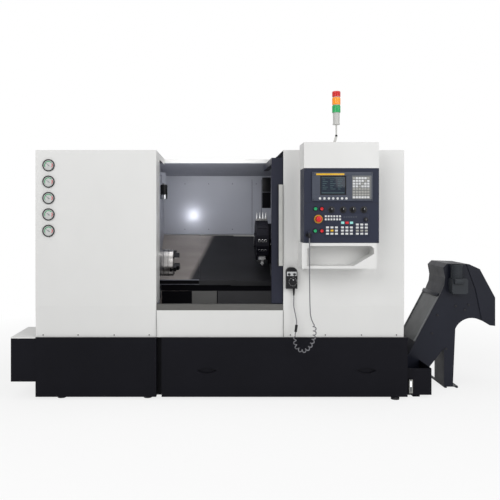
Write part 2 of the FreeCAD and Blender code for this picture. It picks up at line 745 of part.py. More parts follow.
SEAT_INSET = 12.0
SEAT_WIDTH = 44.0
SEAT_DEPTH = 3.0
HOLDER_HEIGHT = 34.0
TOOL_ANGLES = (0.0, 240.0, 300.0)
TIP_ANGLE = 90.0
TIP_COUNT = 4


def tool_holders():
    """Three tool blocks with square-shank tools and a block of drills, on flats of the drum."""
    x_middle = X_TURRET + TURRET_THICKNESS / 2
    shank = box(x_middle - 10, x_middle + 10, -10, 10, TURRET_RADIUS + HOLDER_HEIGHT, TOOL_RADIUS)
    holders = [at_station(joined([holder_block(), shank]), angle) for angle in TOOL_ANGLES]
    low = TURRET_RADIUS + HOLDER_HEIGHT / 2
    drills = []
    for index in range(TIP_COUNT):
        x = X_TURRET + TURRET_THICKNESS * (index + 0.5) / TIP_COUNT
        drills.append(tapered(Vector(x, 0, low), Vector(0, 0, TOOL_RADIUS - low), 8, 1.5, SMALL_SIDE_COUNT))
    bar = box(X_TURRET + 2, X_TURRET + TURRET_THICKNESS - 2, -16, 16, TURRET_RADIUS, low)
    holders.append(at_station(joined([bar] + drills), TIP_ANGLE))
    return Part.makeCompound(holders)


def holder_block():
    """A tool block, standing on a flat of a drum whose axis is X and whose centre is zero."""
    x_middle = X_TURRET + TURRET_THICKNESS / 2
    block = box(x_middle - 34, x_middle + 34, -30, 30, TURRET_RADIUS, TURRET_RADIUS + HOLDER_HEIGHT)
    uprights = [edge for edge in block.Edges if abs(edge.tangentAt(edge.FirstParameter).z) > 0.9]
    return block.makeChamfer(8, uprights)


def at_station(shape, degrees):
    """A shape moved from the drum's zero to a station."""
    y, z = slanted(TURRET_OFFSET, 0)
    shape.translate(Vector(0, y, z))
    shape.rotate(Vector(0, y, z), Vector(1, 0, 0), degrees - 90)
    return shape


def z_screw():
    """The long ball screw that drives the saddle, with a stepped drive end."""
    end = SCREW_RIGHT + SCREW_BLOCK
    shaft = rod_x(X_CHAMBER, end + 40, SCREW_Y, SCREW_Z, SCREW_RADIUS)
    nose = rod_x(end + 40, end + 70, SCREW_Y, SCREW_Z, SCREW_RADIUS - 4)
    return joined([shaft, nose])


# ---------------------------------------------------------------- covers and skirts
def cover_outline(inset):
    """A side cover's front, roof and rear in (y, z), moved in from the outside by an inset."""
    return [
        (Y_FRONT + COVER_SLOPE_IN + inset, BASE_TOP),
        (Y_FRONT + inset, COVER_BEND),
        (Y_FRONT + inset, COVER_TOP - inset),
        (Y_REAR - inset, COVER_TOP - inset),
        (Y_REAR - inset, BASE_TOP),
    ]


def cover_shell(x0, x1):
    """The bent front, the roof and the rear of a side cover, as one open band."""
    outer = prism_x(cover_outline(0), x0, x1)
    core = cover_outline(SHEET)
    core[0] = (core[0][0], BASE_TOP - 1)
    core[-1] = (core[-1][0], BASE_TOP - 1)
    return outer.cut(prism_x(core, x0 - 1, x1 + 1))


def left_cover():
    """The white cover round the headstock, open below, with a return beside the door opening."""
    band = cover_shell(X_LEFT, X_OPEN_LEFT)
    side = prism_x(cover_outline(SHEET / 2), X_LEFT, X_LEFT + SHEET)
    inner = prism_x(cover_outline(SHEET / 2), X_OPEN_LEFT - SHEET, X_OPEN_LEFT)
    keep_front = box(
        X_OPEN_LEFT - SHEET - 1,
        X_OPEN_LEFT + 1,
        Y_FRONT - 1,
        Y_FRONT + CHAMBER_STEP_DEPTH,
        SILL_TOP,
        COVER_TOP + 1,
    )
    roof_side = box(
        X_OPEN_LEFT - SHEET,
        X_OPEN_LEFT,
        Y_FRONT + SHEET / 2,
        Y_FRONT + ROOF_SETBACK,
        DOOR_TOP + 8,
        COVER_TOP - 1,
    )
    holes = []
    for x, z in gauge_places():
        holes.append(rod_y(x, Y_FRONT - 1, Y_FRONT + SHEET + 1, z, GAUGE_BODY_RADIUS + 3, SMALL_SIDE_COUNT))
    shell = joined([band, side, inner.common(keep_front), roof_side])
    return cut_all(shell, holes)


def right_cover():
    """The white cover that the door slides behind, open towards the chamber and below."""
    band = cover_shell(X_OPEN_RIGHT, X_RIGHT)
    side = prism_x(cover_outline(SHEET / 2), X_RIGHT - SHEET, X_RIGHT)
    return joined([band, side])


def roof_cover():
    """The roof and rear wall between the side covers, folded from one sheet with a front lip."""
    lip_y = Y_FRONT + ROOF_SETBACK
    line = [
        (Y_REAR - 1, BASE_TOP),
        (Y_REAR - 1, COVER_TOP - 1),
        (lip_y, COVER_TOP - 1),
        (lip_y, COVER_TOP - ROOF_LIP),
    ]
    return prism_x(folded(line, SHEET), X_OPEN_LEFT, X_OPEN_RIGHT)


def lower_front_panel():
    """The white panel below the sill."""
    z_top = SILL_TOP - SILL_HEIGHT
    y_low = Y_FRONT + COVER_SLOPE_IN
    share = (z_top - BASE_TOP) / (COVER_BEND - BASE_TOP)
    y_high = y_low - COVER_SLOPE_IN * share
    line = [(y_high + 30, z_top), (y_high, z_top), (y_low, BASE_TOP), (y_low + 30, BASE_TOP)]
    return prism_x(folded(line, SHEET), X_OPEN_LEFT, X_OPEN_RIGHT)


SILL_DEPTH = 95.0
SILL_SLOPE_IN = COVER_SLOPE_IN * (COVER_BEND - SILL_TOP + SILL_HEIGHT) / (COVER_BEND - BASE_TOP)
SILL_BACK = Y_FRONT + SHEET + SILL_SLOPE_IN + 0.5 + SILL_DEPTH


def door_sill():
    """The sill under the door, with the door's running groove and a drip edge inside."""
    y0 = SILL_BACK - SILL_DEPTH
    z0 = SILL_TOP - SILL_HEIGHT
    groove_y0 = Y_FRONT + DOOR_SETBACK + DOOR_THICKNESS / 2 - 8
    section = [
        (y0, z0),
        (y0 + SILL_DEPTH, z0),
        (y0 + SILL_DEPTH, SILL_TOP - 14),
        (groove_y0 + 16, SILL_TOP),
        (groove_y0 + 16, SILL_TOP - SILL_GROOVE),
        (groove_y0, SILL_TOP - SILL_GROOVE),
        (groove_y0, SILL_TOP),
        (y0, SILL_TOP),
    ]
    return prism_x(section, X_OPEN_LEFT, X_RIGHT - SHEET - 1)


def skirt_band(x0, x1):
    """The folded front of a skirt: top flange, face and bottom flange."""
    line = [
        (Y_FRONT + SKIRT_FLANGE, BASE_TOP),
        (Y_FRONT, BASE_TOP),
        (Y_FRONT, SKIRT_BOTTOM),
        (Y_FRONT + 12, SKIRT_BOTTOM),
    ]
    return prism_x(folded(line, SKIRT_SHEET), x0, x1)


def left_skirt():
    """The black skirt below the left cover, with its side wall and the plate behind the groove."""
    band = skirt_band(X_LEFT, X_OPEN_LEFT)
    side = box(X_LEFT, X_LEFT + SKIRT_SHEET, Y_FRONT, Y_REAR, SKIRT_BOTTOM, BASE_TOP)
    groove_line = [
        (X_OPEN_LEFT, Y_FRONT + SKIRT_SHEET),
        (X_OPEN_LEFT, Y_FRONT + SKIRT_FLANGE + GROOVE_DEPTH),
        (X_OPEN_LEFT + GROOVE_WIDTH - 2, Y_FRONT + SKIRT_FLANGE + GROOVE_DEPTH),
    ]
    outline = folded(groove_line, SKIRT_SHEET)
    points = [Vector(x, y, SKIRT_BOTTOM) for x, y in outline]
    height = Vector(0, 0, BASE_TOP - SKIRT_SHEET - SKIRT_BOTTOM)
    plate = Part.Face(Part.makePolygon(points + points[:1])).extrude(height)
    return joined([band, side, plate])


GRIP_WIDTH = 140.0
GRIP_HEIGHT = 40.0
GRIP_DEPTH = 16.0
GRIP_LEVEL = 211.0
GRIP_PLACES = (365.0, 1513.0)


def grip_lens(x, y0, y1, grow):
    """A lens-shaped plug, used for the hand-grips pressed in the skirt."""
    half = GRIP_WIDTH / 2 + grow
    rise = GRIP_HEIGHT / 2 + grow
    left = Vector(x - half, y0, GRIP_LEVEL)
    right = Vector(x + half, y0, GRIP_LEVEL)
    over = Part.Arc(left, Vector(x, y0, GRIP_LEVEL + rise), right).toShape()
    under = Part.Arc(right, Vector(x, y0, GRIP_LEVEL - rise), left).toShape()
    return Part.Face(Part.Wire([over, under])).extrude(Vector(0, y1 - y0, 0))


def front_skirt():
    """The long black skirt, with two pressed hand-grips and a side wall cut out for the tank."""
    x0 = X_OPEN_LEFT + GROOVE_WIDTH
    x1 = X_RIGHT + SKIRT_OVERHANG
    band = skirt_band(x0, x1)
    side = box(x1 - SKIRT_SHEET, x1, Y_FRONT, Y_REAR, SKIRT_BOTTOM, BASE_TOP)
    tank_way = box(
        x1 - SKIRT_SHEET - 1,
        x1 + 1,
        TANK_FRONT - 3,
        TANK_BACK + 3,
        SKIRT_BOTTOM - 1,
        TANK_HEIGHT + 80,
    )
    cups = []
    openings = []
    for place in GRIP_PLACES:
        x = X_OPEN_LEFT + place
        cups.append(grip_lens(x, Y_FRONT, Y_FRONT + GRIP_DEPTH + SKIRT_SHEET, SKIRT_SHEET))
        openings.append(grip_lens(x, Y_FRONT - 1, Y_FRONT + GRIP_DEPTH, 0))
    return cut_all(joined([band, side.cut(tank_way)] + cups), openings)


def side_box():
    """The low black box beside the left cover, open at the top below its lid."""
    outer = box(
        X_END_LEFT,
        X_LEFT,
        Y_FRONT + 8,
        Y_FRONT + 8 + SIDE_BOX_DEPTH,
        SIDE_BOX_BOTTOM,
        BASE_TOP - LID_THICKNESS,
    )
    inner = box(
        X_END_LEFT + SKIRT_SHEET,
        X_LEFT - SKIRT_SHEET,
        Y_FRONT + 8 + SKIRT_SHEET,
        Y_FRONT + 8 + SIDE_BOX_DEPTH - SKIRT_SHEET,
        SIDE_BOX_BOTTOM + SKIRT_SHEET,
        BASE_TOP,
    )
    return outer.cut(inner)


def side_box_lid():
    """The pale lid of the side box, with a rim that drops inside it."""
    plate = box(
        X_END_LEFT,
        X_LEFT,
        Y_FRONT + 8,
        Y_FRONT + 8 + SIDE_BOX_DEPTH,
        BASE_TOP - LID_THICKNESS,
        BASE_TOP,
    )
    gap = SKIRT_SHEET + 2
    rim = box(
        X_END_LEFT + gap,
        X_LEFT - gap,
        Y_FRONT + 8 + gap,
        Y_FRONT + 8 + SIDE_BOX_DEPTH - gap,
        BASE_TOP - LID_THICKNESS - 12,
        BASE_TOP - LID_THICKNESS,
    )
    hollow = box(
        X_END_LEFT + gap + 4,
        X_LEFT - gap - 4,
        Y_FRONT + 8 + gap + 4,
        Y_FRONT + 8 + SIDE_BOX_DEPTH - gap - 4,
        BASE_TOP - LID_THICKNESS - 13,
        BASE_TOP - LID_THICKNESS,
    )
    return joined([plate, rim]).cut(hollow)


def coolant_tank():
    """The coolant tank: an open tray under the chamber, whose end shows beside the skirt."""
    x0 = X_OPEN_LEFT + GROOVE_WIDTH + 60
    x1 = X_RIGHT + TANK_REACH
    y0 = TANK_FRONT
    y1 = TANK_BACK
    outer = box(x0, x1, y0, y1, SKIRT_BOTTOM, TANK_HEIGHT)
    inner = box(x0 + SHEET, x1 - SHEET, y0 + SHEET, y1 - SHEET, SKIRT_BOTTOM + SHEET, TANK_HEIGHT + 1)
    gauge_x = X_RIGHT + SKIRT_OVERHANG + 22
    gauge = box(gauge_x, gauge_x + 30, y0 - 10, y0, SKIRT_BOTTOM + 12, SKIRT_BOTTOM + 115)
    gauge_window = box(gauge_x + 9, gauge_x + 21, y0 - 11, y0 - 6, SKIRT_BOTTOM + 26, SKIRT_BOTTOM + 101)
    low = CONVEYOR_FLOOR_GAP - 2
    notch = box(x1 - SHEET - 1, x1 + 1, CONVEYOR_FRONT - 2, CONVEYOR_BACK + 2, low, TANK_HEIGHT + 1)
    feet = []
    for x in (x0 + 60, (x0 + x1) / 2, x1 - 100):
        for y in (y0 + 60, y1 - 60):
            feet.append(box(x - 25, x + 25, y - 25, y + 25, 0, SKIRT_BOTTOM))
    return joined([cut_all(outer, [inner, notch]), gauge.cut(gauge_window)] + feet)


# ---------------------------------------------------------------- chamber
LINER_SHEET = 3.0
LINER_BACK = Y_REAR - REAR_WALL_GAP
LINER_RIGHT = X_OPEN_RIGHT + 350
LINER_SLOPE_FOOT = 1693.0
LINER_TOP = COVER_TOP - ROOF_LIP - 3


def chamber_liner():
    """The chamber's left and back walls, top band, lamp bracket and the way guard's fixed end."""
    guard_y, guard_z = slanted(GUARD_FAR + 10, -GUARD_DROP)
    top_y = Y_FRONT + ROOF_SETBACK + 6
    line = [(LINER_BACK, guard_z), (LINER_BACK, LINER_SLOPE_FOOT), (top_y, LINER_TOP)]
    back = prism_x(folded(line, -LINER_SHEET), X_CHAMBER - LINER_SHEET, LINER_RIGHT)
    step_y = Y_FRONT + CHAMBER_STEP_DEPTH
    wall_line = [
        (step_y + 1, SILL_TOP - SILL_HEIGHT),
        (step_y + 1, DOOR_TOP + 10),
        (top_y, LINER_TOP),
        (LINER_BACK, LINER_SLOPE_FOOT),
        slanted(BED_REACH, -BED_DROP + 8),
        slanted(BED_FRONT, -BED_DROP + 8),
        (BED_FRONT_FACE - 6, SILL_TOP - SILL_HEIGHT),
    ]
    left = prism_x(wall_line, X_CHAMBER - LINER_SHEET, X_CHAMBER)
    spindle_hole = rod_x(X_CHAMBER - 5, X_CHAMBER + 1, Y_SPINDLE, SPINDLE_HEIGHT, SPINDLE_RADIUS + 12)
    step = box(
        X_CHAMBER - LINER_SHEET,
        X_OPEN_LEFT - 1,
        step_y + 1,
        step_y + 1 + LINER_SHEET,
        SILL_TOP - SILL_HEIGHT,
        DOOR_TOP + 8,
    )
    guard = way_guard(X_CHAMBER, 0)
    return joined([back, left.cut(spindle_hole), step, guard, lamp_bracket()])


CHUTE_LEFT = LEFT_PEDESTAL_RIGHT + 4
CHUTE_RIGHT = LINER_RIGHT - 25
CHUTE_GUARD_GAP = 42.0
CHUTE_LOW = TANK_HEIGHT + 18


def chip_chute():
    """The hopper under the chamber: a sloped front, an upright rear and two end walls."""
    front_top = (SILL_BACK, SILL_TOP - SILL_HEIGHT + 6)
    front_low = (CONVEYOR_FRONT + 14, CHUTE_LOW)
    guard_lip = slanted(GUARD_NEAR, -GUARD_DROP - 2 * GUARD_STEP)[1] - GUARD_LIP
    rear_top = (BED_FRONT_FACE - 14, guard_lip - CHUTE_GUARD_GAP)
    rear_bend = (BED_FRONT_FACE - 14, CHUTE_LOW + 110)
    rear_low = (CONVEYOR_BACK - 18, CHUTE_LOW)
    front = prism_x(folded([front_top, front_low], SHEET), CHUTE_LEFT, CHUTE_RIGHT)
    rear = prism_x(folded([rear_low, rear_bend, rear_top], SHEET), CHUTE_LEFT, CHUTE_RIGHT)
    end_top = SILL_TOP - SILL_HEIGHT
    end_outline = [(SILL_BACK, end_top), front_low, rear_low, rear_bend, (rear_top[0], end_top)]
    ends = [
        prism_x(end_outline, CHUTE_LEFT, CHUTE_LEFT + SHEET),
        prism_x(end_outline, CHUTE_RIGHT - SHEET, CHUTE_RIGHT),
    ]
    return joined([front, rear] + ends)


# ---------------------------------------------------------------- door
Y_DOOR = Y_FRONT + DOOR_SETBACK
DOOR_LEFT = X_OPEN_RIGHT - DOOR_COLUMN_WIDTH + 2
DOOR_RIGHT = DOOR_LEFT + OPENING_WIDTH + DOOR_OVERLAP
DOOR_BOTTOM = SILL_TOP + DOOR_BOTTOM_GAP
DOOR_TRAVEL = DOOR_LEFT - X_OPEN_LEFT - 7
GLASS_LEFT = DOOR_LEFT + DOOR_COLUMN_WIDTH + 60
GLASS_RIGHT = DOOR_RIGHT - 130
GLASS_LOW = 960.0
GLASS_HIGH = 1560.0
GLASS_SEAT = 12.0


def door_frame():
    """The sliding door: a folded front with a window opening, and the roof that moves with it."""
    y1 = Y_DOOR + DOOR_THICKNESS
    front = box(DOOR_LEFT, DOOR_RIGHT, Y_DOOR, y1, DOOR_BOTTOM, DOOR_TOP)
    hollow = box(
        DOOR_LEFT + DOOR_COLUMN_WIDTH,
        DOOR_RIGHT - SHEET,
        Y_DOOR + SHEET,
        y1 + 1,
        DOOR_BOTTOM + DOOR_RAIL_HEIGHT,
        DOOR_TOP - DOOR_RAIL_HEIGHT,
    )
    window = box(GLASS_LEFT, GLASS_RIGHT, Y_DOOR - 1, y1 + 1, GLASS_LOW, GLASS_HIGH)
    roof = box(
        DOOR_LEFT,
        DOOR_RIGHT,
        Y_DOOR,
        Y_DOOR + DOOR_ROOF_DEPTH,
        DOOR_TOP - DOOR_ROOF_THICKNESS,
        DOOR_TOP,
    )
    beam = box(DOOR_LEFT, DOOR_LEFT + 40, y1, Y_DOOR + DOOR_ROOF_DEPTH, DOOR_TOP - 45, DOOR_TOP - 5)
    runner = box(
        DOOR_LEFT + 10,
        DOOR_RIGHT - 10,
        Y_DOOR + DOOR_THICKNESS / 2 - 5,
        Y_DOOR + DOOR_THICKNESS / 2 + 5,
        SILL_TOP - SILL_GROOVE + SLIDE_GAP,
        DOOR_BOTTOM,
    )
    return joined([front.cut(hollow), roof, beam, runner]).cut(window)


def door_window():
    """The window pane, set against the inside of the door's front sheet."""
    return box(
        GLASS_LEFT - GLASS_SEAT,
        GLASS_RIGHT + GLASS_SEAT,
        Y_DOOR + SHEET,
        Y_DOOR + SHEET + DOOR_GLASS,
        GLASS_LOW - GLASS_SEAT,
        GLASS_HIGH + GLASS_SEAT,
    )


def door_handle():
    """The upright bar handle on the door's leading column, on two posts."""
    x1 = X_OPEN_RIGHT - 4
    x0 = x1 - HANDLE_WIDTH
    top = HANDLE_BOTTOM + HANDLE_HEIGHT
    y_bar = Y_DOOR - HANDLE_STANDOFF
    bar = box(x0, x1, y_bar, y_bar + 14, HANDLE_BOTTOM, top)
    uprights = [edge for edge in bar.Edges if abs(edge.tangentAt(edge.FirstParameter).z) > 0.9]
    bar = bar.makeFillet(5, uprights)
    posts = []
    for z in (HANDLE_BOTTOM + 40, top - 70):
        posts.append(box(x0 + 7, x1 - 7, y_bar + 12, Y_DOOR, z, z + 30))
    return joined([bar] + posts)


# ---------------------------------------------------------------- work lamp
LAMP_Y = Y_FRONT + 560.0
LAMP_Z = 1600.0
LAMP_RADIUS = 30.0
LAMP_LENGTH = 110.0
LAMP_PIN_RADIUS = 6.0
LAMP_X = X_CHAMBER + 62


def lamp_bracket():
    """The lamp's wall plate and arm, ending in a fork with a cross pin."""
    plate = box(X_CHAMBER, X_CHAMBER + 8, LAMP_Y - 35, LAMP_Y + 35, LAMP_Z - 10, LAMP_Z + 100)
    arm = box(X_CHAMBER + 8, LAMP_X + 14, LAMP_Y - 24, LAMP_Y + 24, LAMP_Z + 50, LAMP_Z + 72)
    ears = [
        box(LAMP_X - 14, LAMP_X + 14, LAMP_Y - 24, LAMP_Y - 16, LAMP_Z - 14, LAMP_Z + 50),
        box(LAMP_X - 14, LAMP_X + 14, LAMP_Y + 16, LAMP_Y + 24, LAMP_Z - 14, LAMP_Z + 50),
    ]
    pin = rod_y(LAMP_X, LAMP_Y - 24, LAMP_Y + 24, LAMP_Z, LAMP_PIN_RADIUS)
    return joined([plate, arm, pin] + ears)


def lamp_head():
    """The lamp's round head with a recessed lens, hung on the bracket's pin by a lug."""
    lug = box(LAMP_X - 12, LAMP_X + 12, LAMP_Y - 14, LAMP_Y + 14, LAMP_Z - 30, LAMP_Z + 14)
    foot = LAMP_Z - 30 - LAMP_LENGTH
    head = rod_z(LAMP_X, LAMP_Y, foot, LAMP_Z - 24, LAMP_RADIUS, SMALL_SIDE_COUNT)
    lens = rod_z(LAMP_X, LAMP_Y, foot - 1, foot + 6, LAMP_RADIUS - 4, SMALL_SIDE_COUNT)
    hole = rod_y(LAMP_X, LAMP_Y - 15, LAMP_Y + 15, LAMP_Z, LAMP_PIN_RADIUS + RUNNING_GAP)
    return cut_all(joined([lug, head]), [lens, hole])


# ---------------------------------------------------------------- pendant
X_PANEL_END = X_PENDANT + PENDANT_WIDTH
POCKET_LEFT = X_PENDANT + 23
POCKET_RIGHT = X_PANEL_END - LOWER_BOX_SHIFT - 19
POCKET_LOW = LOWER_BOX_BOTTOM + 18
POCKET_HIGH = PANEL_BOTTOM - 20


def pendant_housing():
    """The white pendant shell: a head box, a back and a lower box with a storage pocket."""
    head = hollow_box(X_PENDANT, X_PANEL_END, Y_PENDANT, Y_FRONT, PANEL_TOP, PENDANT_TOP)
    back = box(X_PENDANT + 1, X_PANEL_END - 1, Y_FRONT - PENDANT_BACK, Y_FRONT, PANEL_BOTTOM, PANEL_TOP)
    shift = LOWER_BOX_SHIFT
    lower = hollow_box(
        X_PENDANT - shift,
        X_PANEL_END - shift - 3,
        Y_PENDANT,
        Y_FRONT,
        LOWER_BOX_BOTTOM,
        PANEL_BOTTOM,
    )
    lining = pocket_outline(SHEET, Y_PENDANT, Y_PENDANT + POCKET_DEPTH + SHEET)
    pocket = pocket_outline(0, Y_PENDANT - 1, Y_PENDANT + POCKET_DEPTH)
    return joined([head, back, lower, lining]).cut(pocket)


def hollow_box(x0, x1, y0, y1, z0, z1):
    """A closed sheet box."""
    inner = box(x0 + SHEET, x1 - SHEET, y0 + SHEET, y1 - SHEET, z0 + SHEET, z1 - SHEET)
    return box(x0, x1, y0, y1, z0, z1).cut(inner)


def pocket_outline(grow, y0, y1):
    """The pocket's block: upper corners chamfered, lower right corner cut on the slant."""
    left = POCKET_LEFT - grow
    right = POCKET_RIGHT + grow
    low = POCKET_LOW - grow
    high = POCKET_HIGH + grow
    outline = [
        (left, low),
        (right - 140, low),
        (right, low + 82),
        (right, high - 20),
        (right - 20, high),
        (left + 20, high),
        (left, high - 20),
    ]
    return prism_y(outline, y0, y1)


def panel_x(across):
    """A place on the operator panel, measured from its left edge."""
    return X_PENDANT + across


def panel_z(below):
    """A height on the operator panel, measured down from its top edge."""
    return PANEL_TOP - below


POWER_BUTTONS = (("power_on_button", 78.0, 279.0), ("power_off_button", 121.0, 279.0))
CYCLE_BUTTONS = (("cycle_start_button", 76.0, 430.0), ("feed_hold_button", 121.0, 430.0))
BUTTON_PLACES = POWER_BUTTONS + CYCLE_BUTTONS
KNOB_PLACES = (187.0, 267.0, 334.0, 409.0)
KNOB_BELOW = 285.0
ESTOP_PLACE = (98.0, 349.0)
KEYLOCK_PLACE = (422.0, 352.0)
KEYLOCK_RADIUS = 14.0
SOCKET_PLACE = (20.0, 459.0)
GLAND_PLACE = (34.0, 440.0)
GLAND_RADIUS = 13.0
GLAND_DROP = 38.0
CORD_RADIUS = 3.75
CORD_STANDOFF = 22.0


def operator_panel():
    """The navy panel box with its bored face, the stop button's ring, a key lock and the gland."""
    y1 = Y_FRONT - PENDANT_BACK
    outer = box(X_PENDANT, X_PANEL_END, Y_PENDANT, y1, PANEL_BOTTOM, PANEL_TOP)
    inner = box(
        X_PENDANT + PANEL_PLATE,
        X_PANEL_END - PANEL_PLATE,
        Y_PENDANT + PANEL_PLATE,
        y1 - PANEL_PLATE,
        PANEL_BOTTOM + PANEL_PLATE,
        PANEL_TOP - PANEL_PLATE,
    )
    ring = on_panel(ESTOP_PLACE, 5, 0, ESTOP_RING_RADIUS, RING_SIDE_COUNT)
    lock = on_panel(KEYLOCK_PLACE, 12, 0, KEYLOCK_RADIUS, SMALL_SIDE_COUNT)
    socket = on_panel(SOCKET_PLACE, 8, 0, 11, SMALL_SIDE_COUNT)
    socket_bore = on_panel(SOCKET_PLACE, 9, -1, 8, SMALL_SIDE_COUNT)
    holes = [socket_bore, estop_hole()]
    for _, across, below in BUTTON_PLACES:
        holes.append(panel_hole((across, below), BUTTON_RADIUS + BUTTON_GAP, SMALL_SIDE_COUNT))
    for across in KNOB_PLACES:
        holes.append(panel_hole((across, KNOB_BELOW), KNOB_SPINDLE_RADIUS + RUNNING_GAP, 0))
    return cut_all(joined([outer.cut(inner), ring, lock, socket, gland()]), holes)


def gland():
    """The elbow gland: a hexagon nut on the panel's face and a spout that points down."""
    x = panel_x(GLAND_PLACE[0])
    z = panel_z(GLAND_PLACE[1])
    y = Y_PENDANT - CORD_STANDOFF
    nut = rod_y(x, y - 8, Y_PENDANT, z, GLAND_RADIUS, 6)
    spout = rod_z(x, y, z - GLAND_DROP, z, GLAND_RADIUS - 3, SMALL_SIDE_COUNT)
    return nut.fuse(spout)


def on_panel(place, reach, depth, radius, sides):
    """A bar that stands out of the panel's face by a reach and goes into it by a depth."""
    return rod_y(panel_x(place[0]), Y_PENDANT - reach, Y_PENDANT + depth, panel_z(place[1]), radius, sides)


def panel_hole(place, radius, sides):
    """A hole through the panel's face."""
    return on_panel(place, 1, PANEL_PLATE + 1, radius, sides)


def estop_hole():
    """The stop button's hole, through its ring and the panel."""
    return on_panel(ESTOP_PLACE, 6, PANEL_PLATE + 1, ESTOP_STEM_RADIUS + BUTTON_GAP, SMALL_SIDE_COUNT)


def push_button(across, below):
    """A push-button's cap and plunger, held by a square shoulder behind the panel."""
    x = panel_x(across)
    z = panel_z(below)
    plunger = on_panel((across, below), BUTTON_REACH, PANEL_PLATE + 1, BUTTON_RADIUS, SMALL_SIDE_COUNT)
    front = [edge for edge in plunger.Edges if edge.CenterOfMass.y < Y_PENDANT - BUTTON_REACH + 0.1]
    plunger = plunger.makeChamfer(1.5, front)
    stop = BUTTON_RADIUS + 4
    back = Y_PENDANT + PANEL_PLATE
    shoulder = box(x - stop, x + stop, back, back + 6, z - stop, z + stop)
    return joined([plunger, shoulder])


def rotary_knob(across):
    """A rotary switch's knob: a round skirt, a raised grip bar and a spindle through the panel."""
    x = panel_x(across)
    z = panel_z(KNOB_BELOW)
    skirt = on_panel((across, KNOB_BELOW), 9, -1, KNOB_RADIUS, SMALL_SIDE_COUNT)
    grip = box(x - 4, x + 4, Y_PENDANT - KNOB_REACH, Y_PENDANT - 9, z - KNOB_RADIUS + 2, z + KNOB_RADIUS - 2)
    stem = on_panel((across, KNOB_BELOW), 1, PANEL_PLATE + 8, KNOB_SPINDLE_RADIUS, SMALL_SIDE_COUNT)
    stop = KNOB_SPINDLE_RADIUS + 4
    back = Y_PENDANT + PANEL_PLATE + SLIDE_GAP
    collar = box(x - stop, x + stop, back, back + 6, z - stop, z + stop)
    return joined([skirt, grip, stem, collar])


def estop_button():
    """The stop button's mushroom head, stem and shoulder."""
    x = panel_x(ESTOP_PLACE[0])
    z = panel_z(ESTOP_PLACE[1])
    face = Y_PENDANT - ESTOP_REACH
    half = ESTOP_RADIUS
    back = Y_PENDANT + PANEL_PLATE
    stop = ESTOP_STEM_RADIUS + 5
    crown = tapered(Vector(x, face, z), Vector(0, 9, 0), half * 0.7, half, RING_SIDE_COUNT)
    rim = rod_y(x, face + 9, face + 19, z, half, RING_SIDE_COUNT)
    stem = rod_y(x, face + 19, back + 1, z, ESTOP_STEM_RADIUS, SMALL_SIDE_COUNT)
    shoulder = box(x - stop, x + stop, back, back + 8, z - stop, z + stop)
    return joined([crown, rim, stem, shoulder])


# The display unit's bezel, given from the panel's top left corner: left, right, top, bottom.
BEZEL = (54.5, 469.0, 27.0, 225.0)
SCREEN = (109.0, 287.0, 54.0, 184.0)
BEZEL_DEPTH = 10.0
# The key sheet, in the same order, and its blocks of key rows: left, right, first row, rows, pitch, height.
KEY_FIELD = (140.0, 445.0, 312.0, 472.0)
KEY_SHEET = 1.5
KEY_REACH = 2.5
KEY_BLOCKS = (
    (141.0, 252.0, 330.0, 2, 21.0, 14.0),
    (148.0, 233.0, 406.0, 3, 21.5, 17.0),
    (250.0, 335.0, 406.0, 3, 21.5, 17.0),
    (352.0, 437.0, 386.0, 4, 21.0, 17.0),
    (253.0, 335.0, 374.0, 1, 0.0, 16.0),
    (267.0, 363.0, 335.0, 1, 0.0, 20.0),
)


def key_rows(left, right, top, rows, pitch, height, back, reach):
    """Raised rows of keys: each row is one bar, from its left end to its right."""
    bars = []
    for row in range(rows):
        z = panel_z(top + pitch * row)
        bars.append(box(panel_x(left), panel_x(right), back - reach, back, z - height / 2, z + height / 2))
    return bars


def display_unit():
    """The display's bezel with its sunk screen, the row of soft keys and eight rows of data keys."""
    left, right, top, bottom = BEZEL
    back = Y_PENDANT
    front = back - BEZEL_DEPTH
    plate = box(panel_x(left), panel_x(right), front, back, panel_z(bottom), panel_z(top))
    s_left, s_right, s_top, s_bottom = SCREEN
    screen = box(panel_x(s_left), panel_x(s_right), front - 1, front + 5, panel_z(s_bottom), panel_z(s_top))
    soft = key_rows(99.0, 297.0, 208.0, 1, 0, 12, front, 2)
    data = key_rows(331.5, 444.5, 70.0, 8, 18.6, 13, front, 2)
    return joined([plate.cut(screen)] + soft + data)


def key_field():
    """The membrane key sheet of the lower panel, with its raised keys."""
    left, right, top, bottom = KEY_FIELD
    front = Y_PENDANT - KEY_SHEET
    sheet = box(panel_x(left), panel_x(right), front, Y_PENDANT, panel_z(bottom), panel_z(top))
    rows = []
    for left, right, top, count, pitch, height in KEY_BLOCKS:
        rows += key_rows(left, right, top, count, pitch, height, front, KEY_REACH)
    lock_hole = on_panel(KEYLOCK_PLACE, 3, 1, KEYLOCK_RADIUS + 2, SMALL_SIDE_COUNT)
    return joined([sheet] + rows).cut(lock_hole)


# ---------------------------------------------------------------- handset
X_HANDSET = X_OPEN_RIGHT + HANDSET_LEFT
HANDSET_TOP = HANDSET_BOTTOM + HANDSET_HEIGHT
Y_HANDSET = Y_FRONT - HANDSET_DEPTH
WHEEL_X = X_HANDSET + 48
WHEEL_Z = HANDSET_BOTTOM + 49
WHEEL_STEM_RADIUS = 5.0
RELIEF_X = X_HANDSET + 57
RELIEF_Y = Y_FRONT - 22
RELIEF_LENGTH = 50.0


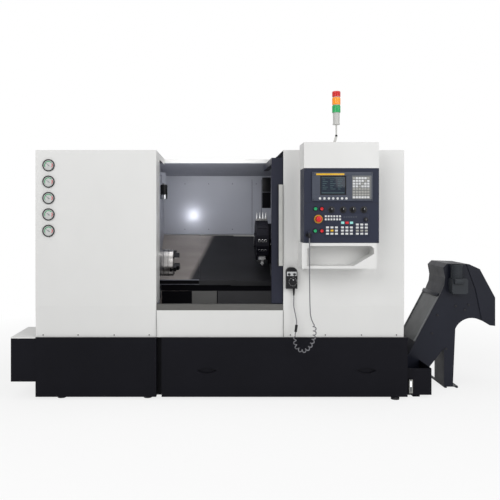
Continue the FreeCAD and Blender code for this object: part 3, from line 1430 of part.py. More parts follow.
def handset_body():
    """The handset's case with a rounded top, two selector dials and its tapered strain relief."""
    case = box(X_HANDSET, X_HANDSET + HANDSET_WIDTH, Y_HANDSET, Y_FRONT, HANDSET_BOTTOM, HANDSET_TOP)
    top = [edge for edge in case.Edges if edge.CenterOfMass.z > HANDSET_TOP - 1 and is_along_y(edge)]
    case = case.makeFillet(32, top)
    dials = []
    for across in (21, 59):
        x = X_HANDSET + across
        dials.append(rod_y(x, Y_HANDSET - 9, Y_HANDSET, HANDSET_BOTTOM + 103, 9, SMALL_SIDE_COUNT))
    relief = tapered(
        Vector(RELIEF_X, RELIEF_Y, HANDSET_BOTTOM - RELIEF_LENGTH),
        Vector(0, 0, RELIEF_LENGTH),
        CORD_RADIUS + 1,
        CORD_RADIUS + 5,
        SMALL_SIDE_COUNT,
    )
    bore = rod_y(WHEEL_X, Y_HANDSET - 1, Y_HANDSET + 21, WHEEL_Z, WHEEL_STEM_RADIUS + RUNNING_GAP)
    return joined([case, relief] + dials).cut(bore)


def is_along_y(edge):
    """Whether an edge runs along Y."""
    return abs(edge.tangentAt(edge.FirstParameter).y) > 0.9


def handset_wheel():
    """The handset's pulse wheel with its finger nub and stem."""
    back = Y_HANDSET - 1
    front = back - HANDWHEEL_THICKNESS
    wheel = rod_y(WHEEL_X, front, back, WHEEL_Z, HANDWHEEL_RADIUS, RING_SIDE_COUNT)
    nub = rod_y(WHEEL_X, front - 8, front, WHEEL_Z + HANDWHEEL_RADIUS - 9, 5, SMALL_SIDE_COUNT)
    stem = rod_y(WHEEL_X, back, Y_HANDSET + 20, WHEEL_Z, WHEEL_STEM_RADIUS, SMALL_SIDE_COUNT)
    return joined([wheel, nub, stem])


# ---------------------------------------------------------------- curly lead
# The lead's route, point by point: (x from the opening's right edge, y from the front, z).
CORD_ROUTE = (
    (151.0, -262.0, 1175.0),
    (152.0, -259.0, 690.0),
    (164.0, -251.0, 625.0),
    (195.0, -225.0, 560.0),
    (195.0, -193.0, 480.0),
    (168.0, -160.0, 405.0),
    (122.0, -125.0, 370.0),
    (78.0, -90.0, 395.0),
    (72.0, -63.0, 450.0),
    (86.0, -47.0, 515.0),
    (93.0, -37.0, 570.0),
    (82.0, -29.0, 625.0),
    (71.0, -24.0, 680.0),
    (73.0, -22.0, 720.0),
    (73.0, -22.0, 756.0),
)
RUN_COUNT_BEFORE_CURLS = 2
RUN_COUNT_TO_LAST_CURL = 8
CURL_COUNT = 12
CURL_RADIUS = 10.25
CURL_RAMP = 1.0
ARC_SHARE = 0.45
CORD_SIDE_COUNT = 6


def route_parts():
    """The route as straight parts and tangent arcs: (kind, start, end, middle, length)."""
    points = [Vector(X_OPEN_RIGHT + x, Y_FRONT + y, z) for x, y, z in CORD_ROUTE]
    parts = []
    here = points[0]
    for before, corner, after in zip(points, points[1:], points[2:]):
        into = (corner - before).normalize()
        out = (after - corner).normalize()
        turn = into.getAngle(out)
        trim = ARC_SHARE * min((corner - before).Length, (after - corner).Length)
        radius = trim / math.tan(turn / 2)
        print("cord corner radius", round(radius, 1), "turn", round(math.degrees(turn), 1))
        start = corner - into * trim
        end = corner + out * trim
        inward = (out - into).normalize()
        middle = corner + inward * (radius / math.cos(turn / 2) - radius)
        parts.append(("line", here, start, None, (start - here).Length))
        parts.append(("arc", start, end, middle, radius * turn))
        here = end
    parts.append(("line", here, points[-1], None, (points[-1] - here).Length))
    return parts


def part_edge(part):
    """A route part as an edge."""
    kind, start, end, middle, _ = part
    if kind == "line":
        return Part.LineSegment(start, end).toShape()
    return Part.Arc(start, middle, end).toShape()


def split_route():
    """The plain edges before the curls, the curls' centre line and the plain edges after them."""
    parts = route_parts()
    before = parts[: 2 * RUN_COUNT_BEFORE_CURLS]
    inside = parts[2 * RUN_COUNT_BEFORE_CURLS: 2 * RUN_COUNT_TO_LAST_CURL + 1]
    after = parts[2 * RUN_COUNT_TO_LAST_CURL + 1:]
    first_middle = (inside[0][1] + inside[0][2]) * 0.5
    last_middle = (inside[-1][1] + inside[-1][2]) * 0.5
    lead_in = Part.LineSegment(inside[0][1], first_middle).toShape()
    lead_out = Part.LineSegment(last_middle, inside[-1][2]).toShape()
    centre = [Part.LineSegment(first_middle, inside[0][2]).toShape()]
    centre += [part_edge(part) for part in inside[1:-1]]
    centre.append(Part.LineSegment(inside[-1][1], last_middle).toShape())
    plain_before = [part_edge(part) for part in before] + [lead_in]
    plain_after = [lead_out] + [part_edge(part) for part in after]
    return plain_before, centre, plain_after


def centre_point(edges, distance):
    """The point and direction at a distance along a chain of edges."""
    for edge in edges[:-1]:
        if distance <= edge.Length:
            break
        distance -= edge.Length
    else:
        edge = edges[-1]
    parameter = edge.getParameterByLength(min(max(distance, 0), edge.Length))
    return edge.valueAt(parameter), edge.tangentAt(parameter)


def curl_point(edges, total, share, turned):
    """A point of the curls at a share of their centre line, with a frame carried by the route."""
    place, along = centre_point(edges, total * share)
    side = Vector(0, 1, 0) - along * along.y
    side.normalize()
    other = along.cross(side)
    ramp = min(1.0, CURL_COUNT * share / CURL_RAMP, CURL_COUNT * (1 - share) / CURL_RAMP)
    radius = CURL_RADIUS * ramp * ramp * (3 - 2 * ramp)
    angle = 2 * math.pi * turned
    return place + (side * math.cos(angle) + other * math.sin(angle)) * radius


def curl_edges(edges):
    """The curls as biarcs of half a turn each."""
    total = sum(edge.Length for edge in edges)
    count = 2 * CURL_COUNT
    small = 1e-4
    points = []
    headings = []
    for index in range(count + 1):
        share = index / count
        points.append(curl_point(edges, total, share, CURL_COUNT * share))
        low = max(share - small, 0)
        high = min(share + small, 1)
        after = curl_point(edges, total, high, CURL_COUNT * high)
        step = after - curl_point(edges, total, low, CURL_COUNT * low)
        headings.append(step.normalize())
    headings[0] = centre_point(edges, 0)[1]
    headings[-1] = centre_point(edges, total)[1]
    curls = []
    for index in range(count):
        curls += biarc(points[index], headings[index], points[index + 1], headings[index + 1])
    return curls


def biarc(start, leaving, end, arriving):
    """Two tangent arcs from one point and direction to another."""
    gap = end - start
    both = leaving + arriving
    spread = 2 * (1 - leaving.dot(arriving))
    across = gap.dot(both)
    reach = (math.sqrt(across ** 2 + spread * gap.dot(gap)) - across) / spread
    middle = (start + leaving * reach + end - arriving * reach) * 0.5
    turn = (end - arriving * reach - start - leaving * reach).normalize()
    return [arc_from(start, leaving, middle), arc_from(middle, turn, end)]


def arc_from(start, heading, end):
    """An arc that leaves a point in a direction and ends at another point."""
    chord = end - start
    side = heading - chord * (heading.dot(chord) / chord.dot(chord))
    if side.Length < 1e-6:
        return Part.LineSegment(start, end).toShape()
    half_turn = heading.getAngle(chord)
    bow = side.normalize() * (chord.Length / 2 * math.tan(half_turn / 2))
    return Part.Arc(start, start + chord * 0.5 + bow, end).toShape()


def handset_cord():
    """The lead from the gland to the handset: one six-sided tube, plain at both ends and curled between."""
    plain_before, centre, plain_after = split_route()
    edges = plain_before + curl_edges(centre) + plain_after
    path = Part.Wire(edges)
    circle = Part.makeCircle(CORD_RADIUS, edges[0].valueAt(edges[0].FirstParameter), edges[0].tangentAt(0))
    corners = [circle.valueAt(2 * math.pi * index / CORD_SIDE_COUNT) for index in range(CORD_SIDE_COUNT)]
    ring = Part.Wire(Part.makePolygon(corners + corners[:1]).Edges)
    tube = path.makePipeShell([ring], True, False)
    section = Part.Face(ring).Area
    filled = tube.Volume / (section * path.Length)
    print("cord length", round(path.Length), "volume over section x length", round(filled, 4))
    print("least gap between curls", round(least_gap(edges), 2))
    return tube


def least_gap(edges):
    """The least distance between the tube's surface and itself, half a curl or more away."""
    samples = []
    travelled = 0.0
    for edge in edges:
        steps = max(2, int(edge.Length / 3))
        for index in range(steps):
            parameter = edge.getParameterByLength(edge.Length * index / steps)
            samples.append((travelled + edge.Length * index / steps, edge.valueAt(parameter)))
        travelled += edge.Length
    apart = math.pi * CURL_RADIUS
    least = travelled
    for index, (place, point) in enumerate(samples):
        for other_place, other in samples[index + 1:]:
            if other_place - place > apart:
                least = min(least, point.distanceToPoint(other))
    return least - 2 * CORD_RADIUS


# ---------------------------------------------------------------- signal tower and gauges
TOWER_X = X_PENDANT + TOWER_PLACE
TOWER_Y = Y_FRONT - 150
POLE_TOP = PENDANT_TOP + TOWER_BRACKET_HEIGHT + TOWER_POLE_HEIGHT
TOWER_BASE_TOP = POLE_TOP + TOWER_BASE_HEIGHT
TOWER_LENS_HEIGHTS = (62.0, 63.0, 28.0)


def tower_stand():
    """The tower's cranked bracket, its pole and the flared base of the lamps."""
    foot = box(TOWER_X - 30, TOWER_X + 6, TOWER_Y - 18, TOWER_Y + 18, PENDANT_TOP, PENDANT_TOP + 5)
    crank = prism_y(
        [
            (TOWER_X - 22, PENDANT_TOP + 4),
            (TOWER_X - 4, PENDANT_TOP + 4),
            (TOWER_X + 8, PENDANT_TOP + TOWER_BRACKET_HEIGHT),
            (TOWER_X - 8, PENDANT_TOP + TOWER_BRACKET_HEIGHT),
        ],
        TOWER_Y - 7,
        TOWER_Y + 7,
    )
    pole_foot = PENDANT_TOP + TOWER_BRACKET_HEIGHT - 4
    pole = rod_z(TOWER_X, TOWER_Y, pole_foot, POLE_TOP, TOWER_POLE_RADIUS * 0.6, SMALL_SIDE_COUNT)
    flange = rod_z(TOWER_X, TOWER_Y, POLE_TOP, POLE_TOP + 9, TOWER_LENS_RADIUS - 4, RING_SIDE_COUNT)
    base = tapered(
        Vector(TOWER_X, TOWER_Y, POLE_TOP + 9),
        Vector(0, 0, TOWER_BASE_HEIGHT - 9),
        TOWER_LENS_RADIUS - 7,
        TOWER_LENS_RADIUS - 5,
        RING_SIDE_COUNT,
    )
    return joined([foot, crank, pole, flange, base])


def tower_lenses():
    """The stacked green, amber and red lens modules, each with a waist groove at its foot."""
    modules = []
    bottom = TOWER_BASE_TOP
    for height in TOWER_LENS_HEIGHTS:
        waist = rod_z(TOWER_X, TOWER_Y, bottom, bottom + 4, TOWER_LENS_RADIUS - 4, RING_SIDE_COUNT)
        barrel = rod_z(TOWER_X, TOWER_Y, bottom + 4, bottom + height, TOWER_LENS_RADIUS, RING_SIDE_COUNT)
        modules.append(joined([waist, barrel]))
        bottom += height
    return Part.makeCompound(modules)


def gauge_places():
    """The gauges' centres on the left cover."""
    return [(X_LEFT + GAUGE_INSET, GAUGE_TOP - GAUGE_SPACING * index) for index in range(GAUGE_COUNT)]


def pressure_gauges():
    """The column of panel gauges: bezel, sunk dial, pointer and the case behind the cover."""
    gauges = []
    for x, z in gauge_places():
        bezel = rod_y(x, Y_FRONT - GAUGE_REACH, Y_FRONT, z, GAUGE_RADIUS, RING_SIDE_COUNT)
        case = rod_y(x, Y_FRONT, Y_FRONT + 40, z, GAUGE_BODY_RADIUS, SMALL_SIDE_COUNT)
        dial = Y_FRONT - GAUGE_REACH + 6
        sunk = rod_y(x, Y_FRONT - GAUGE_REACH - 1, dial, z, GAUGE_RADIUS - 7, RING_SIDE_COUNT)
        pointer = box(x - 1.5, x + 1.5, Y_FRONT - 6, Y_FRONT - 4, z - 6, z + 26)
        pointer.rotate(Vector(x, 0, z), Vector(0, 1, 0), -60)
        gauges.append(joined([bezel.cut(sunk), case, pointer]))
    return Part.makeCompound(gauges)


# ---------------------------------------------------------------- chip conveyor
# Outlines in (x from the machine's right side, z).
HOOD_SHOULDER = (633.0, 936.0)
HOOD_CORNER = (677.0, 916.0)
HOOD_DROP = 696.0
HOOD_LOW = 478.0
HOOD_LIP = (755.0, 482.0)
COVER_FOOT = 355.0
HATCH_HEIGHTS = (385.0, 690.0)
HATCH_MARGIN = 24.0
INTAKE_LEFT = X_CHAMBER + 255 - X_RIGHT
RUN_TOP = CONVEYOR_FLOOR_GAP + CONVEYOR_RUN_HEIGHT
TRUNK_FOOT = (202.0, CONVEYOR_FLOOR_GAP)
TRUNK_BACK = (394.0, 294.0)
TRUNK_HEAD = (379.0, 728.0)
LEG_LEFT = 404.0
LEG_RIGHT = 472.0
LEG_DEPTH = 225.0
SHAFT_PLACE = (500.0, 790.0)
SHAFT_RADIUS = 17.5
SPROCKET_RADIUS = 70.0
SPROCKET_TOOTH_COUNT = 8
FOOT_BAR = 12.0


def trunk_top(z):
    """The x of the trunk's upper face at a height."""
    return TRUNK_HEAD[0] - (TRUNK_HEAD[1] - z) / math.tan(math.radians(CONVEYOR_ANGLE_DEG))


def at_conveyor(points):
    """Outline points moved to the machine's right side."""
    return [(X_RIGHT + x, z) for x, z in points]


def conveyor_body():
    """The conveyor's welded trough: floor run, rising trunk, head, open discharge mouth and leg."""
    y0 = CONVEYOR_FRONT
    y1 = CONVEYOR_BACK
    wall = CONVEYOR_WALL
    outline = [
        (491.0, 455.0),
        (LEG_RIGHT, FOOT_BAR),
        (LEG_LEFT, FOOT_BAR),
        (LEG_LEFT, 307.0),
        TRUNK_BACK,
        TRUNK_FOOT,
        (INTAKE_LEFT, CONVEYOR_FLOOR_GAP),
        (INTAKE_LEFT, RUN_TOP),
        (trunk_top(RUN_TOP), RUN_TOP),
        TRUNK_HEAD,
        (405.0, 790.0),
        (412.0, 846.0),
        (398.0, 927.0),
        (430.0, 958.0),
        (600.0, CONVEYOR_TOP - 10),
        HOOD_SHOULDER,
        HOOD_CORNER,
        (CONVEYOR_REACH, HOOD_DROP),
        (CONVEYOR_REACH, HOOD_LOW),
        HOOD_LIP,
    ]
    ring = [Vector(X_RIGHT + x, y0, z) for x, z in outline]
    lip = Part.Arc(ring[-1], Vector(X_RIGHT + 697, y0, 519), Vector(X_RIGHT + 621, y0, 538)).toShape()
    arch = Part.Arc(Vector(X_RIGHT + 621, y0, 538), Vector(X_RIGHT + 540, y0, 514), ring[0]).toShape()
    sides = Part.makePolygon(ring).Edges
    outer = Part.Face(Part.Wire(sides + [lip, arch])).extrude(Vector(0, y1 - y0, 0))
    hollow = [
        (INTAKE_LEFT + wall, CONVEYOR_FLOOR_GAP + wall),
        (TRUNK_FOOT[0] - 2, CONVEYOR_FLOOR_GAP + wall),
        (TRUNK_BACK[0] - 5, TRUNK_BACK[1]),
        (500.0, 500.0),
        (500.0, 440.0),
        (770.0, 440.0),
        (CONVEYOR_REACH - wall, HOOD_LOW - 8),
        (CONVEYOR_REACH - wall, HOOD_DROP - 1),
        (HOOD_CORNER[0] - 3, HOOD_CORNER[1] - 3),
        (HOOD_SHOULDER[0] - 3, HOOD_SHOULDER[1] - 4),
        (598.0, CONVEYOR_TOP - 14),
        (432.0, 954.0),
        (403.0, 925.0),
        (417.0, 846.0),
        (409.0, 788.0),
        (TRUNK_HEAD[0] + 4, TRUNK_HEAD[1] - 2),
        (trunk_top(RUN_TOP) + 3, RUN_TOP - wall),
        (INTAKE_LEFT + wall, RUN_TOP - wall),
    ]
    cavity = prism_y(at_conveyor(hollow), y0 + wall, y1 - wall)
    leg_hollow = [
        (LEG_LEFT + wall, 316.0),
        (LEG_LEFT + wall, 0),
        (LEG_RIGHT - wall, 0),
        (486.0, 440.0),
        (486.0, 466.0),
    ]
    leg_cavity = prism_y(at_conveyor(leg_hollow), y0 + wall, y1 + 1)
    leg_rear = [(LEG_LEFT - 1, 300.0), (LEG_LEFT - 1, 0), (492.0, 0), (492.0, 300.0)]
    behind_leg = prism_y(at_conveyor(leg_rear), y0 + LEG_DEPTH, y1 + 1)
    intake = box(X_RIGHT + INTAKE_LEFT + 20, CHUTE_RIGHT, y0 + 20, y1 - 20, RUN_TOP - wall - 1, RUN_TOP + 1)
    hatch_low, hatch_high = HATCH_HEIGHTS
    hatch_outline = [
        (trunk_top(hatch_low) - 2, hatch_low),
        (trunk_top(hatch_high) - 2, hatch_high),
        (trunk_top(hatch_high) + 10, hatch_high),
        (trunk_top(hatch_low) + 10, hatch_low),
    ]
    hatch = prism_y(at_conveyor(hatch_outline), y0 + HATCH_MARGIN, y1 - HATCH_MARGIN)
    shaft_x = X_RIGHT + SHAFT_PLACE[0]
    shaft_bore = rod_y(shaft_x, y0 - 1, y1 + 1, SHAFT_PLACE[1], SHAFT_RADIUS + RUNNING_GAP)
    shell = cut_all(outer, [cavity, leg_cavity, behind_leg, intake, hatch, shaft_bore])
    return joined([shell] + hood_cheeks() + foot_bars() + run_skids())


def hood_cheeks():
    """The hood's outer side plates, which lap over the head."""
    outline = [
        (575.0, 953.0),
        HOOD_SHOULDER,
        HOOD_CORNER,
        (CONVEYOR_REACH, HOOD_DROP),
        (CONVEYOR_REACH, HOOD_LOW),
        HOOD_LIP,
        (694.0, 518.0),
        (645.0, 760.0),
    ]
    cheeks = []
    for y0 in (CONVEYOR_FRONT - 8, CONVEYOR_BACK):
        cheeks.append(prism_y(at_conveyor(outline), y0, y0 + 8))
    return cheeks


def foot_bars():
    """The two bars on the floor under the leg, with the cross plate that joins them."""
    bars = []
    for x in (LEG_LEFT + 4, LEG_RIGHT + 22):
        bars.append(box(X_RIGHT + x, X_RIGHT + x + 16, CONVEYOR_FRONT - 4, CONVEYOR_BACK + 5, 0, FOOT_BAR))
    plate = box(
        X_RIGHT + LEG_LEFT,
        X_RIGHT + LEG_RIGHT + 38,
        CONVEYOR_FRONT,
        CONVEYOR_FRONT + LEG_DEPTH,
        FOOT_BAR - 4,
        FOOT_BAR + 2,
    )
    return bars + [plate]


def run_skids():
    """The skids that carry the floor run on the tank's floor."""
    skids = []
    for x in (X_RIGHT + INTAKE_LEFT + 120, X_RIGHT - 300):
        skids.append(box(x, x + 30, CONVEYOR_FRONT, CONVEYOR_BACK, SKIRT_BOTTOM + SHEET, CONVEYOR_FLOOR_GAP))
    return skids


def conveyor_cover():
    """The grey plate on the trunk's upper face, with a folded lip at each side."""
    run = Vector(TRUNK_HEAD[0] - trunk_top(COVER_FOOT), 0, TRUNK_HEAD[1] - COVER_FOOT)
    length = run.Length - 6
    plate = Part.makeBox(length, CONVEYOR_WIDTH - 10, 6, Vector(0, CONVEYOR_FRONT + 5, 0))
    ribs = [
        Part.makeBox(length, 12, 6, Vector(0, CONVEYOR_FRONT + 5, 6)),
        Part.makeBox(length, 12, 6, Vector(0, CONVEYOR_BACK - 17, 6)),
    ]
    cover = joined([plate] + ribs)
    cover.rotate(Vector(0, 0, 0), Vector(0, 1, 0), -CONVEYOR_ANGLE_DEG)
    cover.translate(Vector(X_RIGHT + trunk_top(COVER_FOOT), 0, COVER_FOOT))
    return cover


def conveyor_gear_motor():
    """The gear motor on the head's front: gearbox, motor barrel and terminal box."""
    x = X_RIGHT + SHAFT_PLACE[0]
    z = SHAFT_PLACE[1]
    face = CONVEYOR_FRONT
    gearbox = box(x - 62, x + 58, face - 84, face, z - 58, z + 60)
    uprights = [edge for edge in gearbox.Edges if is_along_y(edge)]
    gearbox = gearbox.makeChamfer(12, uprights)
    barrel = rod_z(x - 16, face - 46, z + 60, CONVEYOR_TOP - 6, 42, RING_SIDE_COUNT)
    terminal = box(x - 50, x + 18, face - 108, face - 80, z + 20, z + 58)
    bore = rod_y(x, face - 60, face + 1, z, SHAFT_RADIUS + RUNNING_GAP)
    return joined([gearbox, barrel, terminal]).cut(bore)


def conveyor_shaft():
    """The head shaft with its two toothed sprockets."""
    x = X_RIGHT + SHAFT_PLACE[0]
    z = SHAFT_PLACE[1]
    shaft = rod_y(x, CONVEYOR_FRONT - 58, CONVEYOR_BACK + 20, z, SHAFT_RADIUS)
    sprockets = [sprocket(x, CONVEYOR_FRONT + 30, z), sprocket(x, CONVEYOR_BACK - 42, z)]
    return joined([shaft] + sprockets)


def sprocket(x, y, z):
    """A toothed sprocket with tapered teeth, as one closed outline."""
    points = []
    pitch = 2 * math.pi / SPROCKET_TOOTH_COUNT
    for tooth in range(SPROCKET_TOOTH_COUNT):
        for share, radius in ((-0.32, 0.78), (-0.12, 1.0), (0.12, 1.0), (0.32, 0.78)):
            angle = pitch * (tooth + share)
            reach = SPROCKET_RADIUS * radius
            points.append((x + reach * math.cos(angle), z + reach * math.sin(angle)))
    return prism_y(points, y, y + 12)


# ---------------------------------------------------------------- electrical cabinet
CABINET_LEFT = X_OPEN_RIGHT + 150
CABINET_RIGHT = X_RIGHT - 22
CABINET_BOTTOM = 480.0
CABINET_TOP = 1700.0
CABINET_DOOR = 14.0
CABINET_HANDLE = 12.0
MOUNTING_INSET = 40.0
CABINET_HANDLE_LEVELS = (1040.0, 1190.0)
HINGE_RADIUS = 10.0
HINGE_PIN_RADIUS = 6.0
HINGE_X = CABINET_RIGHT + 8
HINGE_Y = Y_CABINET - CABINET_HANDLE - 8
HINGE_LEVELS = (640.0, 1480.0)
HINGE_LENGTH = 60.0


def cabinet_shell():
    """The rear electrical cabinet: an open sheet box with a mounting plate and hinge pins."""
    y1 = Y_CABINET - CABINET_HANDLE - CABINET_DOOR - 1
    outer = box(CABINET_LEFT, CABINET_RIGHT, Y_REAR, y1, CABINET_BOTTOM, CABINET_TOP)
    inner = box(
        CABINET_LEFT + SHEET,
        CABINET_RIGHT - SHEET,
        Y_REAR + SHEET,
        y1 + 1,
        CABINET_BOTTOM + SHEET,
        CABINET_TOP - SHEET,
    )
    plate = box(
        CABINET_LEFT + MOUNTING_INSET,
        CABINET_RIGHT - MOUNTING_INSET,
        Y_REAR + SHEET,
        Y_REAR + 3 * SHEET,
        CABINET_BOTTOM + 1.5 * MOUNTING_INSET,
        CABINET_TOP - 1.5 * MOUNTING_INSET,
    )
    pins = []
    for z in HINGE_LEVELS:
        pins.append(box(CABINET_RIGHT - 1, HINGE_X, y1 - 30, y1 - 18, z - 22, z - 1))
        pins.append(box(HINGE_X - 6, HINGE_X + 6, y1 - 30, HINGE_Y + 6, z - 22, z - 1))
        pins.append(rod_z(HINGE_X, HINGE_Y, z - 2, z + HINGE_LENGTH - 10, HINGE_PIN_RADIUS))
    return joined([outer.cut(inner), plate] + pins)


def cabinet_door():
    """The cabinet's door: a sheet with a folded rim, two hinge knuckles and a swing handle."""
    y1 = Y_CABINET - CABINET_HANDLE
    y0 = y1 - CABINET_DOOR
    outer = box(CABINET_LEFT - 4, CABINET_RIGHT - 2, y0, y1, CABINET_BOTTOM - 4, CABINET_TOP + 4)
    inner = box(
        CABINET_LEFT - 4 + SHEET,
        CABINET_RIGHT - 2 - SHEET,
        y0 - 1,
        y1 - SHEET,
        CABINET_BOTTOM - 4 + SHEET,
        CABINET_TOP + 4 - SHEET,
    )
    handle_x = CABINET_LEFT + MOUNTING_INSET
    handle = box(handle_x, handle_x + 26, y1, Y_CABINET, *CABINET_HANDLE_LEVELS)
    knuckles = []
    bores = []
    for z in HINGE_LEVELS:
        knuckles.append(rod_z(HINGE_X, HINGE_Y, z, z + HINGE_LENGTH, HINGE_RADIUS, SMALL_SIDE_COUNT))
        knuckles.append(box(CABINET_RIGHT - 8, HINGE_X, HINGE_Y - 3, HINGE_Y + 8, z, z + HINGE_LENGTH))
        bores.append(rod_z(HINGE_X, HINGE_Y, z - 1, z + HINGE_LENGTH - 9, HINGE_PIN_RADIUS + RUNNING_GAP))
    return cut_all(joined([outer.cut(inner), handle] + knuckles), bores)


# ---------------------------------------------------------------- all pieces
def build():
    """Every piece under its node's name."""
    keep("bed_casting", bed_casting())
    keep("levelling_feet", levelling_feet())
    keep("headstock", headstock())
    keep("spindle", spindle())
    keep("chuck_body", chuck_body())
    for index in range(3):
        keep(f"chuck_jaw_{index + 1}", chuck_jaw(index))
    keep("spindle_motor", spindle_motor())
    keep("motor_pulley", motor_pulley())
    keep("drive_belt", drive_belt())
    keep("saddle", saddle())
    keep("way_guard_middle", way_guard((X_CHAMBER + X_SADDLE - GUARD_LENGTH) / 2, 1))
    keep("way_guard_saddle", way_guard(X_SADDLE - GUARD_LENGTH, 2))
    keep("cross_slide", cross_slide())
    keep("turret_housing", turret_housing())
    keep("turret_disc", turret_disc())
    keep("tool_holders", tool_holders())
    keep("z_screw", z_screw())
    keep("left_cover", left_cover())
    keep("right_cover", right_cover())
    keep("roof_cover", roof_cover())
    keep("lower_front_panel", lower_front_panel())
    keep("door_sill", door_sill())
    keep("left_skirt", left_skirt())
    keep("front_skirt", front_skirt())
    keep("side_box", side_box())
    keep("side_box_lid", side_box_lid())
    keep("coolant_tank", coolant_tank())
    keep("chamber_liner", chamber_liner())
    keep("chip_chute", chip_chute())
    keep("door_frame", door_frame())
    keep("door_window", door_window())
    keep("door_handle", door_handle())
    keep("lamp_head", lamp_head())
    keep("pendant_housing", pendant_housing())
    keep("operator_panel", operator_panel())
    for name, across, below in BUTTON_PLACES:
        keep(name, push_button(across, below))
    for index, across in enumerate(KNOB_PLACES):
        keep(f"rotary_knob_{index + 1}", rotary_knob(across))
    keep("estop_button", estop_button())
    keep("display_unit", display_unit())
    keep("key_field", key_field())
    keep("handset_body", handset_body())
    keep("handset_wheel", handset_wheel())
    keep("handset_cord", handset_cord())
    keep("tower_stand", tower_stand())
    keep("tower_lenses", tower_lenses())
    keep("pressure_gauges", pressure_gauges())
    keep("conveyor_body", conveyor_body())
    keep("conveyor_cover", conveyor_cover())
    keep("conveyor_gear_motor", conveyor_gear_motor())
    keep("conveyor_shaft", conveyor_shaft())
    keep("cabinet_shell", cabinet_shell())
    keep("cabinet_door", cabinet_door())


build()
os.makedirs("parts", exist_ok=True)
for node, shape in NODES.items():
    shape.exportStep(f"parts/{node}.step")
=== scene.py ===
"""The looks of a slant-bed turning lathe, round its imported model. Metres, Z up, as the frame."""

import math
from bisect import bisect_left
from itertools import accumulate, product

import bmesh
import bpy
from mathutils import Matrix, Vector

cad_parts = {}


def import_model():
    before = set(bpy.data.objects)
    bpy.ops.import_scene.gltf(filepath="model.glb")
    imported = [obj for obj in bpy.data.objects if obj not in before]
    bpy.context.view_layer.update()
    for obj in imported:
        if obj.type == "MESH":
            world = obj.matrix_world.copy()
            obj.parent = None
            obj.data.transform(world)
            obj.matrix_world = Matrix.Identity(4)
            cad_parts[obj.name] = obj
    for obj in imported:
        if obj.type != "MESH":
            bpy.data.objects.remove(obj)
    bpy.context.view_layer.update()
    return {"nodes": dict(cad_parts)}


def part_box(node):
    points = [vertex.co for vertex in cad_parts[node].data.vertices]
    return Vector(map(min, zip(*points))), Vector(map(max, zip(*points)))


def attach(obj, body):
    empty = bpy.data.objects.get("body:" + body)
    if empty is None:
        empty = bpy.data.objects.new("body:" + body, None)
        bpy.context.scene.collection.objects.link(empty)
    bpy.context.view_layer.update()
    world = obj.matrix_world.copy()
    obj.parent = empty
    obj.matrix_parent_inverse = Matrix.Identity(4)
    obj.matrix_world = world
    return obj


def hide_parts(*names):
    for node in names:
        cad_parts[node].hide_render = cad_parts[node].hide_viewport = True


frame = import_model()
NODES = frame["nodes"]

# ---------------- places
FRONT = Vector((0, -1, 0))
BACK = Vector((0, 1, 0))
LEFT = Vector((-1, 0, 0))
RIGHT = Vector((1, 0, 0))
UP = Vector((0, 0, 1))


def corners(node):
    """The lowest and the highest corner of a node."""
    return [Vector(corner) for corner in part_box(node)[:2]]


def low(node):
    """The lowest corner of a node."""
    return corners(node)[0]


def high(node):
    """The highest corner of a node."""
    return corners(node)[1]


def measures(node):
    """A node's lowest and highest corner, its middle and half its width."""
    start, end = corners(node)
    return start, end, (start + end) / 2, (end.x - start.x) / 2


def about(value, reach):
    """The span on both sides of a value."""
    return value - reach, value + reach


def facing(degrees):
    """The direction on a front face at an angle from upright."""
    angle = math.radians(degrees)
    return Vector((math.sin(angle), 0, math.cos(angle)))


def inset(radius, *pairs):
    """A profile from pairs of a distance inside a radius and a height."""
    return [(radius - less, height) for less, height in pairs]


def repeated(count, step, *pattern):
    """A profile's pattern of radii and heights, made again and again a step further on."""
    return [(radius + step[0] * index, height + step[1] * index) for index, (radius, height) in product(
        range(count), pattern)]


def on_surface(node, place):
    """The nearest place on a node's surface, and the direction that faces out of it there."""
    bpy.context.view_layer.update()
    _, spot, normal, _ = NODES[node].closest_point_on_mesh(place)
    return spot, normal


def put(name, data):
    """A new object in the scene."""
    holder = bpy.data.objects.new(name, data)
    bpy.context.collection.objects.link(holder)
    return holder


Y_FRONT = low("left_cover").y

# ---------------- camera and light
CAMERA_X = -0.342
CAMERA_Z = 1.332
CAMERA_DISTANCE = 4.8
CAMERA_LENS = 48.0
CAMERA_SENSOR = 36.0
CAMERA_SHIFT = (0.07, -0.07)
# Each lamp's name, place, target, size and watts.
LAMPS = (
    ("key", (-3.2, -6.0, 4.2), (-0.2, 0, 1.0), (4.0, 3.0), 140),
    ("fill", (3.8, -5.6, 2.8), (0.6, 0, 0.9), (4.0, 3.0), 120),
    ("top", (0, -0.4, 5.0), (0, 0, 0.8), (4.5, 3.5), 72),
    ("roof_lamp", (-0.35, -0.05, 1.70), (-0.35, 0.70, 1.30), (0.8, 0.1), 1.2),
)
LINER_WALL = 0.003
GLARE_PLACE = (-0.546, 1.332)
# Each glare lamp's name, gap to the wall, size and watts.
GLARES = (("glare_core", 0.070, 0.03, 0.13), ("glare_halo", 0.22, 0.08, 0.24))
WORLD_STRENGTH = 0.60
GLOSS_SHARE = 0.35
FLOOR_HALF = 30.0
FLOOR_COLOUR = (0.80, 0.80, 0.80, 1)
FLOOR_GLOW = 0.80
FLOOR_FADE = (2.2, 4.4)


def camera():
    """The camera, level, square to the machine's front."""
    data = bpy.data.cameras.new("camera")
    data.lens = CAMERA_LENS
    data.sensor_width = CAMERA_SENSOR
    data.shift_x, data.shift_y = CAMERA_SHIFT
    data.clip_end = 100
    holder = put("camera", data)
    holder.location = (CAMERA_X, Y_FRONT - CAMERA_DISTANCE, CAMERA_Z)
    holder.rotation_euler = (math.radians(90), 0, 0)
    bpy.context.scene.camera = holder


